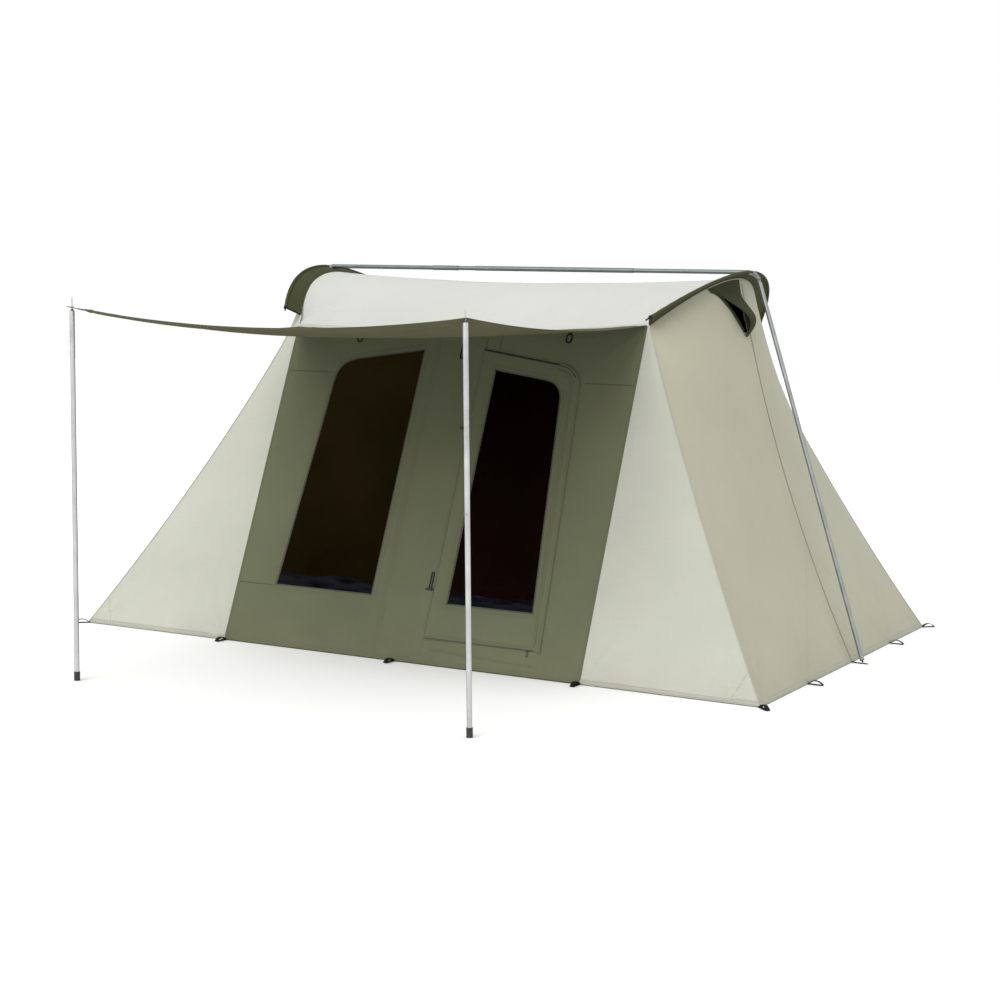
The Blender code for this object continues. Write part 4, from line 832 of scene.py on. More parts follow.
@dataclass(frozen=True)
class ZipTape:
    """Zip: two cloth edges with a row of teeth between them."""

    name: str
    colour: tuple[float, float, float]
    teeth: tuple[float, float, float]

    def material(self) -> bpy.types.Material:
        """Builds the zip material."""
        nodes = Nodes(self.name)
        uv, body = nodes.coordinates()
        parts = nodes.add("SeparateXYZ", {0: uv})
        along, across = parts.outputs[0], parts.outputs[1]
        off = nodes.math("ABSOLUTE", nodes.math("SUBTRACT", across, 0.5))
        chain = nodes.math("LESS_THAN", off, 0.2)
        gaps = nodes.math("LESS_THAN", nodes.math("FRACT", nodes.math("MULTIPLY", along, 400.0)), 0.6)
        ridge = nodes.math("MULTIPLY", chain, gaps)
        grey = nodes.noise(body, 30.0, 4.0)
        colour = nodes.mix(nodes.spread(grey, 0.0, 0.4), shade(self.colour, 1.0), shade(self.colour, 1.8))
        colour = nodes.mix(nodes.math("MULTIPLY", chain, 0.8), colour, (*self.teeth, 1.0))
        normal = nodes.bump(nodes.math("ADD", ridge, chain), 0.7, 0.0008)
        rough = nodes.spread(ridge, 0.8, 0.4, 0.0, 1.0)
        return nodes.join(Base_Color=colour, Roughness=rough, Normal=normal)


class Finish(Enum):
    """The finishes of the tent, each made once."""

    # Painted light and shade: roof, gores and gables are one beige canvas; ROOF and ROOF_SEAM are a lighter copy that
    # paints the light on the roof, and GABLE is a darker copy that paints the shade on the end walls.
    ROOF = Canvas("roof_duck_painted_light", (0.500, 0.508, 0.478), mottle=0.03, dust=0.0, sheen=0.1, gloss=0.25)
    ROOF_SEAM = Canvas("roof_duck_sewn", (0.45, 0.455, 0.42), dust=0.0, stitched=True, sheen=0.1, gloss=0.25)
    BEIGE = Canvas("beige_duck", (0.440, 0.448, 0.385), sheen=0.1, gloss=0.25)
    BEIGE_SEAM = Canvas("beige_duck_sewn", (0.385, 0.387, 0.325), stitched=True, thread=(0.22, 0.21, 0.15))
    GABLE = Canvas("gable_duck_painted_shade", (0.372, 0.370, 0.280), mottle=0.04, sheen=0.1, gloss=0.25)
    GREEN = Canvas("green_duck", (0.124, 0.132, 0.079), mottle=0.08)
    GREEN_SEAM = Canvas("green_duck_sewn", (0.119, 0.126, 0.074), stitched=True, thread=(0.15, 0.15, 0.10))
    CROSS_SEAM = Canvas("green_duck_joined", (0.062, 0.066, 0.040), stitched=True, thread=(0.10, 0.10, 0.07))
    # Partly painted shade: the awning is the wall's olive-green canvas, set darker than GREEN to paint the shade on
    # its underside.
    AWNING = Canvas("awning_duck_painted_shade", (0.098, 0.097, 0.055), mottle=0.09, dust=0.0, sheen=0.0, gloss=0.05)
    AWNING_SEAM = Canvas("awning_duck_sewn", (0.088, 0.087, 0.050), dust=0.0, stitched=True,
                         thread=(0.12, 0.12, 0.08), sheen=0.0)
    BROW = Canvas("brow_duck", (0.058, 0.062, 0.031), mottle=0.12, dust=0.0, sheen=0.0, gloss=0.05)
    BROW_SEAM = Canvas("brow_duck_sewn", (0.055, 0.059, 0.030), dust=0.0, stitched=True,
                       thread=(0.09, 0.09, 0.06), sheen=0.0)
    HOOD = Canvas("hood_duck", (0.050, 0.054, 0.029), dust=0.0, sheen=0.0, gloss=0.05)
    HOOD_SEAM = Canvas("hood_duck_sewn", (0.040, 0.044, 0.024), dust=0.0, stitched=True,
                       thread=(0.07, 0.07, 0.05), sheen=0.0)
    DARK_SEAM = Canvas("dark_seam_duck", (0.235, 0.232, 0.170), stitched=True, thread=(0.09, 0.09, 0.06))
    NAVY = Canvas("navy_cover_cloth", (0.020, 0.024, 0.036), dust=0.0, pitch=0.0009)
    # The low and high tones of each mesh paint the light and shade of the interior seen through it.
    WINDOW_SCREEN = Screen("window_mesh", (0.0270, 0.0190, 0.0060), (0.0090, 0.0058, 0.0018), fold=0.085)
    DOOR_SCREEN = Screen("door_mesh", (0.0022, 0.0013, 0.0007), (0.0075, 0.0029, 0.0018), fold=0.07)
    BLACK_WEB = Webbing("black_webbing", (0.005, 0.005, 0.005))
    CORD = Webbing("black_cord", (0.006, 0.006, 0.006), ribs=0.0035)
    TUBE = Steel("zinc_tube", (0.56, 0.57, 0.57))
    LEANING = Steel("leaning_tube", (0.36, 0.38, 0.375), rough=0.4)
    RIDGE = Steel("ridge_pole", (0.20, 0.228, 0.222), rough=0.38, streaks=(2.2, 160.0, 160.0))
    CAST = Steel("cast_fitting", (0.55, 0.56, 0.56), rough=0.4, streaks=(30.0, 30.0, 30.0))
    SPRING = Steel("spring_rod", (0.05, 0.05, 0.05), rough=0.42, streaks=(90.0, 4.0, 90.0))
    BRASS = Steel("eyelet_brass", (0.42, 0.34, 0.19), rough=0.34, streaks=(60.0, 60.0, 60.0))
    PLASTIC = Moulded("black_plastic", (0.014, 0.014, 0.014))
    VINYL = Moulded("floor_vinyl", (0.035, 0.036, 0.036), rough=0.55, grain=300.0)
    ZIP = ZipTape("zip_tape", (0.060, 0.063, 0.040), (0.030, 0.031, 0.022))
    HEAD_ZIP = ZipTape("dark_zip_tape", (0.012, 0.012, 0.009), (0.006, 0.006, 0.005))


@cache
def material_of(finish: Finish) -> bpy.types.Material:
    """Material of a finish, made once."""
    return finish.value.material()


def dress(piece: bpy.types.Object, finish: Finish) -> bpy.types.Object:
    """Gives a piece its finish.

    Args:
        piece: The piece, or a CAD node.
        finish: The finish.

    Returns:
        The same piece.
    """
    made = material_of(finish)
    if piece.data.materials:
        for index in range(len(piece.data.materials)):
            piece.data.materials[index] = made
    else:
        piece.data.materials.append(made)
    return piece


def settle(piece: bpy.types.Object, finish: Finish, body: str = "tent", nodes: Sequence[str] = ()) -> bpy.types.Object:
    """Dresses a piece and makes it ride on its body.

    Args:
        piece: The piece.
        finish: Its finish.
        body: The body that it rides on.
        nodes: CAD nodes that it stands for.

    Returns:
        The same piece.
    """
    dress(piece, finish)
    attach(piece, body)
    if nodes:
        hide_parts(*nodes)
    LOG.info("%s rides on %s, %d faces", piece.name, body, len(piece.data.polygons))
    return piece


@dataclass(frozen=True)
class TentShape:
    """Sizes of the canopy and the curves that its panels share."""

    half_width: float = 2.135
    half_depth: float = 1.525
    foot: float = 0.0033
    eave_height: float = 1.88
    lean: float = math.radians(21.4)
    panel: float = 1.13
    eave_half_width: float = 1.145
    roof_end: float = 1.37
    roof_top: float = 2.165
    roof_sag: float = 0.05
    hip_sag: tuple[float, float, float] = (0.042, -0.033, 0.0)
    end_sag: float = 0.08
    bow_end: float = 1.446
    bow_tip: tuple[float, float, float] = (1.1845, 0.88304, 1.92)
    ridge_height: float = 2.2
    eave_sag: float = 0.066
    corner_slack: float = 0.068
    slack_fade: int = 9
    slack_stand: float = 0.07

    @property
    def eave_depth(self) -> float:
        """How far the eave stands in front of the middle."""
        return self.half_depth - self.eave_height * math.tan(self.lean)

    @property
    def slope(self) -> float:
        """Length of the long wall from the ground to the eave."""
        return self.eave_height / math.cos(self.lean)

    def wall(self, x: float, along: float, out: float = 0.0) -> Vector:
        """Point of the front wall, across, up its slope and out of it."""
        sine, cosine = math.sin(self.lean), math.cos(self.lean)
        return Vector((x, along * sine - self.half_depth - out * cosine, along * cosine + out * sine))

    def eave_drop(self, x: float) -> float:
        """How far the eave hangs down between its corners."""
        return self.eave_sag * max(0.0, 1 - (x / self.panel) ** 2)

    def slack_drop(self, x: float) -> float:
        """How far the front eave hangs below that at its slack left corner."""
        return self.corner_slack * ((1 - max(-1.0, min(1.0, x / self.panel))) / 2) ** 3

    def eave_along(self, x: float, front: bool = True) -> float:
        """Length up the long wall's slope to the hanging eave."""
        drop = self.eave_drop(x) + (self.slack_drop(x) if front else 0.0)
        return self.slope - drop / math.cos(self.lean)

    def hip(self, share: float) -> Vector:
        """Point of the front right hip, from the ground up."""
        ground = Vector((self.half_width, -self.half_depth, self.foot))
        corner = Vector((self.eave_half_width, -self.eave_depth, self.eave_height))
        return ground.lerp(corner, share) - Vector(self.hip_sag) * (4 * share * (1 - share))

    def end(self, up: float, across: float) -> Vector:
        """Point of the right end wall; across runs from -1 in front to 1."""
        hip = self.hip(up)
        ground, apex = Vector((self.half_width, 0, self.foot)), Vector((self.roof_end, 0, self.roof_top))
        seam = ground.lerp(apex, up) - Vector((self.end_sag, 0, 0)) * (4 * up * (1 - up))
        reach = abs(across)
        x = seam.x + (hip.x - seam.x) * reach ** (1 + up**2)
        return Vector((x, -hip.y * across, seam.z + (hip.z - seam.z) * reach**2))

    def roof(self, side: float, across: float) -> Vector:
        """Point of the roof; side runs from -1 at the left end to 1."""
        edge = self.end(1.0, across)
        sag = self.roof_sag * (1 - side**2) * (1 - across**2)
        ear = self.slack_drop(edge.x * side) * abs(across) ** self.slack_fade if across < 0 else 0.0
        drop = self.eave_drop(edge.x * side) * abs(across) ** 3 + ear
        out = math.copysign(drop * math.tan(self.lean) + ear * self.slack_stand, across)
        return Vector((edge.x * side, edge.y + out, edge.z - sag - drop))

    def gore(self, across: float, up: float) -> Vector:
        """Point of the front right gore, from the wall's seam to the hip."""
        hip = self.hip(up)
        return self.wall(self.panel, hip.z / math.cos(self.lean)).lerp(hip, across)

    def bow(self, share: float) -> Vector:
        """Middle of the right bow rod; share runs from -1 in front to 1."""
        tip = Vector(self.bow_tip)
        apex = Vector((self.bow_end, 0, self.ridge_height))
        drop = Vector((tip.x - apex.x, 0, tip.z - apex.z))
        return apex + drop * share**2 + Vector((0, tip.y * share, 0))

    def bow_frame(self, share: float) -> tuple[Vector, Vector, Vector]:
        """Directions at a share of the right bow.

        Args:
            share: Share along the bow.

        Returns:
            Along the rod, away from the roof, and up from the band.
        """
        step = 1e-3
        tangent = (self.bow(share + step) - self.bow(share - step)).normalized()
        reach = (self.bow(share) - self.end(1.0, max(-1.0, min(1.0, share)))).normalized()
        out = (reach - tangent * reach.dot(tangent)).normalized()
        up = tangent.cross(out)
        return tangent, out, up if up.z > 0 else -up


@dataclass
class Canopy:
    """Roof, end walls and gores, with their seams."""

    shape: TentShape

    def build(self) -> None:
        """Builds and dresses the whole canopy."""
        roof = self.build_roof()
        for side, name in ((1, "right"), (-1, "left")):
            self.build_end(side, name)
            for turn, place in ((1, "front"), (-1, "rear")):
                self.build_gore(side, turn, f"{place}_gore_{name}")
        self.build_eaves(roof)

    def build_roof(self) -> Surface:
        """Builds the roof.

        Returns:
            Its surface.
        """
        folds = Creases(3.1, 0.007, 0.0022, ((1.15, -0.79), (-1.15, -0.79), (1.15, 0.79), (-1.15, 0.79)), 0.004, 0.35)

        def crease(side: float, across: float) -> float:
            """Folds of the roof."""
            edge = min(side, 1 - side) * 2.4, min(across, 1 - across) * 1.7
            return folds.depth((side - 0.5) * 2.5, (across - 0.5) * 1.7, min(edge))

        roof = Surface(lambda side, across: self.shape.roof(side * 2 - 1, across * 2 - 1), Vector((0, 0, 1)), crease)
        piece = settle(roof.sheet("roof_canvas", 110, 72), Finish.ROOF, nodes=["roof_panel"])
        return roof

    def end_surface(self, side: int) -> Surface:
        """Surface of an end wall.

        Args:
            side: 1 for the right end and -1 for the left.

        Returns:
            Its surface, across from front to rear and up.
        """
        deep = self.shape.half_depth
        anchors = ((-deep, 0.0), (deep, 0.0), (0.0, 2.25), (0.78, 0.0), (-0.78, 0.0), (0.0, 0.0))
        folds = Creases(11.0 + side, 0.006, 0.0022, anchors, 0.0055, 0.3, 11)

        def crease(across: float, up: float) -> float:
            """Folds of the end wall."""
            width = deep - 0.74 * up
            y = (across * 2 - 1) * width
            edge = min(width - abs(y), abs(y) + 0.004, up * 2.2, (1 - up) * 2.2)
            return folds.depth(y, up * 2.2, edge)

        def base(across: float, up: float) -> Vector:
            """Point of the end wall."""
            return mirrored(self.shape.end(up, across * 2 - 1), side)

        return Surface(base, Vector((side, 0, 0.35)), crease)

    def build_end(self, side: int, name: str) -> None:
        """Builds an end wall with its middle seam, chevron seams and hem.

        Args:
            side: 1 for the right end and -1 for the left.
            name: Name of the end.
        """
        wall = self.end_surface(side)
        piece = settle(wall.sheet(f"gable_canvas_{name}", 128, 96), Finish.GABLE, nodes=[f"end_wall_{name}"])
        middle = [wall.at(0.5, share) for share in even(90, 0.0, 0.985)]
        settle(ribbon(f"gable_middle_seam_{name}", middle, Trim.PIPING), Finish.DARK_SEAM)
        for turn, place in ((-1, "front"), (1, "rear")):
            path = [wall.at(0.5 + turn * 0.2525 * share, 0.312 * (1 - share)) for share in even(50, 0.0, 0.995)]
            settle(ribbon(f"gable_{place}_seam_{name}", path, Trim.STITCH), Finish.BEIGE_SEAM)
        hem = [wall.at(share, 0.007) for share in even(120, 0.002, 0.998)]
        settle(ribbon(f"gable_hem_{name}", hem, Trim.HEM), Finish.BEIGE_SEAM)
        arch = [wall.at(share, 0.994) for share in even(80, 0.004, 0.996)]
        settle(ribbon(f"gable_arch_seam_{name}", arch, Trim.FELLED), Finish.BEIGE_SEAM)
        for turn, place in ((-1, "front"), (1, "rear")):
            corner = [wall.at(0.5 + turn * (0.5 - 0.075 * share), 0.078 * (1 - share) + 0.004) for share in even(20)]
            settle(ribbon(f"gable_{place}_patch_{name}", corner, Trim.STITCH), Finish.BEIGE_SEAM)

    def gore_surface(self, side: int, turn: int) -> Surface:
        """Surface of a gore.

        Args:
            side: 1 on the right and -1 on the left.
            turn: 1 in front and -1 in the rear.

        Returns:
            Its surface, from the wall's seam to the hip and up.
        """
        start = self.shape.panel
        anchors = ((self.shape.half_width, 0.0), (start, 0.0), (1.14, 2.02))
        folds = Creases(20.0 + side * 2 + turn, 0.007, 0.0024, anchors, 0.006, 0.28, 13)

        def crease(across: float, up: float) -> float:
            """Folds of the gore."""
            width = 0.012 + 1.005 * (1 - up)
            edge = min(across * width, (1 - across) * width, up * 2.0, (1 - up) * 2.0)
            return folds.depth(start + across * width, up * 2.0, edge)

        def base(across: float, up: float) -> Vector:
            """Point of the gore."""
            return mirrored(self.shape.gore(across, up), side, turn)

        return Surface(base, Vector((side * 0.25, -turn, 0.4)), crease)

    def build_gore(self, side: int, turn: int, name: str) -> None:
        """Builds a gore with its seams, hem and corner patch.

        Args:
            side: 1 on the right and -1 on the left.
            turn: 1 in front and -1 in the rear.
            name: Name of its CAD node.
        """
        gore = self.gore_surface(side, turn)
        piece = settle(gore.sheet(f"{name}_canvas", 60, 120), Finish.BEIGE, nodes=[name])
        hip = [gore.at(1.0, share) for share in even(90, 0.0, 0.998)]
        end = self.end_surface(side)
        across = 0.0 if turn > 0 else 1.0
        folded = [(point, (normal + end.normal(across, share)).normalized())
                  for (point, normal), share in zip(hip, even(90, 0.0, 0.998))]
        settle(ribbon(f"{name}_hip_seam", folded, Trim.WEB), Finish.BEIGE_SEAM)
        slack = self.shape.slack_drop(self.shape.panel * side) if turn > 0 else 0.0
        seam = [gore.at(0.0, share) for share in even(90, 0.0, 0.998 - slack / self.shape.eave_height)]
        settle(ribbon(f"{name}_wall_seam", seam, Trim.FELLED), Finish.GREEN_SEAM)
        hem = [gore.at(share, 0.007) for share in even(60, 0.004, 0.992)]
        settle(ribbon(f"{name}_hem", hem, Trim.HEM), Finish.BEIGE_SEAM)
        patch = [gore.at(1 - 0.165 * share, 0.082 * (1 - share) + 0.004) for share in even(20)]
        settle(ribbon(f"{name}_patch", patch, Trim.STITCH), Finish.BEIGE_SEAM)

    def build_eaves(self, roof: Surface) -> None:
        """Builds the hems of the roof's two eaves.

        Args:
            roof: Surface of the roof.
        """
        for across, place in ((0.004, "front"), (0.996, "rear")):
            path = [roof.at(share, across) for share in even(90, 0.002, 0.998)]
            settle(ribbon(f"{place}_eave_hem", path, Trim.HEM), Finish.ROOF_SEAM)


@dataclass
class LongWall:
    """A green long wall with its window, seams, roll and ties."""

    shape: TentShape
    rear: bool = False
    step: float = 0.028

    def __post_init__(self) -> None:
        """Names the wall's pieces and lays out its openings."""
        self.place = "rear" if self.rear else "front"
        self.window = [(-x, z) for x, z in shoulder_outline(0.224, 0.355, 0.872, 0.79, 1.835, 1.745, 0.13)]
        self.door = shoulder_outline(0.165, 0.145, 0.862, 0.785, 1.838, 1.745, 0.13)
        self.port = shoulder_outline(0.255, 0.345, 0.792, 0.695, 1.73, 1.665, 0.11)
        side = self.shape.panel
        anchors = ((-side, 0.0), (0.0, 0.0), (side, 0.0), (-side, 2.0), (side, 2.0), (0.16, 0.14), (0.86, 0.14))
        self.folds = Creases(41.0 if self.rear else 37.0, 0.005, 0.002, anchors, 0.0042, 0.22, 9)
        self.outward = self.turned(Vector((0, -math.cos(self.shape.lean), math.sin(self.shape.lean))))

    def turned(self, point: Vector) -> Vector:
        """Point turned to this wall's side of the tent."""
        return Vector((-point.x, -point.y, point.z)) if self.rear else point

    def eave(self, x: float) -> float:
        """Length up this wall's slope to its hanging eave."""
        return self.shape.eave_along(x, not self.rear)

    def spot(self, x: float, along: float, out: float = 0.0) -> Vector:
        """Point of this wall, with its folds."""
        edge = min(self.shape.panel - abs(x), along - 0.0035, self.eave(x) - along)
        return self.turned(self.shape.wall(x, along, out + self.folds.depth(x, along, edge)))

    def strip(self, name: str, path: Sequence[Flat], trim: Trim, finish: Finish, out: float = 0.0,
              closed: bool = False, body: str = "tent") -> bpy.types.Object:
        """Sews a strip on the wall.

        Args:
            name: Name of the strip, without the wall's.
            path: Corners of its path.
            trim: Its section.
            finish: Its finish.
            out: How far it stands out.
            closed: Whether the path closes.
            body: The body that it rides on.

        Returns:
            The strip.
        """
        spots = [(self.spot(x, z, out), self.outward) for x, z in stepped(path, 0.02, closed)]
        return settle(ribbon(f"{self.place}_{name}", spots, trim, closed), finish, body)

    def cut(self, name: str, outline: Sequence[Flat], holes: Sequence[Sequence[Flat]], out: float,
            thickness: float = DUCK) -> bpy.types.Object:
        """Cuts a sheet that lies on the wall.

        Args:
            name: Name of the sheet, without the wall's.
            outline: Its outline.
            holes: Its openings.
            out: How far it stands out.
            thickness: Thickness of the cloth.

        Returns:
            The closed sheet.
        """
        piece = cut_piece(f"{self.place}_{name}", lambda x, z: self.spot(x, z, out), outline, holes, self.step,
                          self.outward)
        return thickened(piece, thickness)

    def build(self) -> None:
        """Builds and dresses the wall."""
        self.build_panel()
        self.build_seams()
        self.build_window()
        for height, level in ((0.52, "lower"), (1.46, "upper")):
            self.build_tie(height, level)
        if not self.rear:
            for x, name in ((-0.68, "left"), (0.024, "middle"), (0.68, "right")):
                self.build_hanging_loop(x, name)

    def build_panel(self) -> None:
        """Builds the green panel round the openings."""
        side, low = self.shape.panel, 0.0045
        top = [(x, self.eave(x)) for x in even(40, side, -side)]
        outline = [(-side, low), (side, low), *top]
        piece = self.cut("wall_canvas", outline, [grown(self.door, 0.0012), self.window], 0.0)
        settle(piece, Finish.GREEN, nodes=[f"{self.place}_wall_panel"])

    def build_seams(self) -> None:
        """Builds the seams, hems and reinforcements of the panel."""
        top, end = self.shape.eave_along(0) - 0.03, 1.12
        eave = [(x, self.eave(x) - 0.014) for x in even(60, -end, end)]
        self.strip("foot_hem", [(-end, 0.018), (end, 0.018)], Trim.HEM, Finish.GREEN_SEAM)
        self.strip("eave_seam", eave, Trim.HEM, Finish.GREEN_SEAM)
        self.strip("door_side_seam", [(0.157, 0.02), (0.157, top)], Trim.FELLED, Finish.GREEN_SEAM, 0.0003)
        self.strip("middle_band", [(-0.143, 0.02), (-0.143, top)], Trim.WIDE, Finish.GREEN_SEAM)
        self.strip("threshold_seam", [(0.17, 0.088), (0.87, 0.060)], Trim.FELLED, Finish.GREEN_SEAM)
        self.strip("low_cross_seam", [(-end, 0.352), (-0.88, 0.352)], Trim.STITCH, Finish.CROSS_SEAM)
        self.strip("high_cross_seam", [(-end, 1.665), (-0.83, 1.665)], Trim.STITCH, Finish.CROSS_SEAM)
        self.strip("door_cross_seam", [(0.83, 1.665), (end, 1.665)], Trim.STITCH, Finish.CROSS_SEAM)
        self.strip("patch", [(0.172, 1.80), (0.258, 1.80), (0.258, 1.93), (0.172, 1.93)], Trim.STITCH,
                   Finish.CROSS_SEAM, closed=True)

    def build_window(self) -> None:
        """Builds the window's hem, mesh and rolled cover."""
        self.strip("window_hem", grown(self.window, 0.014), Trim.HEM, Finish.GREEN_SEAM, 0.0001, closed=True)
        self.strip("window_zip", grown(self.window, -0.003), Trim.ZIP, Finish.ZIP, -0.0026, closed=True)
        screen = self.cut("window_screen", grown(self.window, 0.014), [], -0.0045, THIN)
        settle(screen, Finish.WINDOW_SCREEN, nodes=[f"{self.place}_window_mesh"])
        roll = self.roll("window_roll", -0.860, -0.236, 0.355)
        settle(roll, Finish.NAVY, nodes=[f"{self.place}_window_cover_roll"])

    def roll(self, name: str, left: float, right: float, bottom: float) -> bpy.types.Object:
        """Rolls a window's cover up along its foot.

        Args:
            name: Name of the roll, without the wall's.
            left: Its left end.
            right: Its right end.
            bottom: Height of the opening's foot.

        Returns:
            The rolled sheet.
        """
        radius, pitch, points, turns = 0.0235, 0.00125, 22, 17
        columns = 22
        grid = []
        for step in range(points * turns + 1):
            angle = 2 * math.pi * step / points
            ray = radius - pitch * step / points
            row = []
            for column in range(columns + 1):
                share = column / columns
                x = left + (right - left) * share
                slack = 1 + 0.06 * noise.noise(Vector((x * 9, math.cos(angle), math.sin(angle) + bottom)))
                pinch = 1 - 0.16 * math.exp(-((abs(share - 0.5) - 0.27) / 0.03) ** 2)
                size = ray * slack * pinch
                sag = 0.003 * math.cos(2 * math.pi * share * 1.5)
                height = bottom + 0.026 + sag + size * math.sin(angle)
                row.append(self.turned(self.shape.wall(x, height, -0.031 - size * math.cos(angle))))
            grid.append(row)
        return thickened(grid_piece(f"{self.place}_{name}", grid, turned=True), THIN)

    def build_tie(self, height: float, level: str) -> None:
        """Builds a cord loop with its toggle, beside the door.

        Args:
            height: Height of the tie up the slope.
            level: Name of its height.
        """
        x, half, drop = 0.139, 0.007, 0.1
        path = loop_outline(x, height, half, drop, 10)
        points = [self.spot(across, up, 0.0032) for across, up in stepped(path, 0.01, True)]
        loop = tube(f"{self.place}_tie_cord_{level}", points, 0.0028, closed=True)
        settle(loop, Finish.CORD, nodes=[f"{self.place}_door_tie_{level}"])
        centre = self.spot(x, height - drop + 0.002, 0.0085)
        settle(toggle(f"{self.place}_tie_toggle_{level}", centre, Vector((1, 0, 0))), Finish.PLASTIC)

    def build_hanging_loop(self, x: float, name: str) -> None:
        """Builds a webbing loop under the front eave.

        Args:
            x: Its place along the eave.
            name: Name of its place.
        """
        middle = name == "middle"
        half, drop = (0.0075, 0.135) if middle else (0.016, 0.052)
        top = self.shape.eave_along(x) - 0.022
        path = loop_outline(x, top, half, drop, 12)
        spots = [(self.spot(across, up, 0.0016), self.outward) for across, up in path]
        piece = ribbon(f"hanging_loop_web_{name}", spots, Trim.WEB, closed=True)
        settle(piece, Finish.BLACK_WEB, nodes=[] if middle else [f"hanging_loop_{name}"])
        tab = [(x, top - 0.006), (x, top + 0.020)]
        self.strip(f"loop_tab_{name}", tab, Trim.TAPE, Finish.BLACK_WEB, 0.0006)


def toggle(name: str, centre: Vector, along: Vector) -> bpy.types.Object:
    """Turned toggle with a waist for its cord.

    Args:
        name: Name of the piece.
        centre: Its middle.
        along: Its axis.

    Returns:
        The toggle.
    """
    bpy.ops.object.select_all(action="DESELECT")
    turn = along.to_track_quat("Z", "Y").to_euler()
    bpy.ops.mesh.primitive_cylinder_add(vertices=24, radius=0.0062, depth=0.045, location=centre, rotation=turn)
    piece = bpy.context.object
    piece.name = name
    bpy.ops.object.mode_set(mode="EDIT")
    for offset in (-0.004, 0.004):
        bpy.ops.mesh.select_all(action="SELECT")
        bpy.ops.mesh.bisect(plane_co=centre + along * offset, plane_no=along)
    bpy.ops.object.mode_set(mode="OBJECT")
    bpy.ops.object.transform_apply(location=True, rotation=True, scale=True)
    waist = [vert for vert in piece.data.vertices if abs((vert.co - centre).dot(along)) < 0.006]
    for vert in waist:
        offset = vert.co - centre
        core = along * offset.dot(along)
        vert.co = centre + core + (offset - core) * 0.72
    soften(piece, 0.0014, 3)
    return piece


def soften(piece: bpy.types.Object, width: float, segments: int = 2) -> bpy.types.Object:
    """Rounds a hard piece's edges.

    Args:
        piece: The piece.
        width: Width of the rounding.
        segments: Faces across it.

    Returns:
        The same piece.
    """
    bevel = piece.modifiers.new("rounding", "BEVEL")
    bevel.width, bevel.segments, bevel.limit_method, bevel.angle_limit = width, segments, "ANGLE", math.radians(25)
    only(piece)
    bpy.ops.object.modifier_apply(modifier=bevel.name)
    piece.data.shade_smooth()
    piece.data.set_sharp_from_angle(angle=math.radians(45))
    return piece


def block(size: tuple[float, float, float], middle: tuple[float, float, float] = (0, 0, 0)) -> bpy.types.Object:
    """Box with its origin at the tent's.

    Args:
        size: Its three sizes.
        middle: Its middle.

    Returns:
        The box.
    """
    bpy.ops.object.select_all(action="DESELECT")
    bpy.ops.mesh.primitive_cube_add(size=1.0)
    bpy.ops.object.mode_set(mode="EDIT")
    bpy.ops.mesh.select_all(action="SELECT")
    bpy.ops.transform.resize(value=size)
    bpy.ops.transform.translate(value=middle)
    bpy.ops.object.mode_set(mode="OBJECT")
    return bpy.context.object


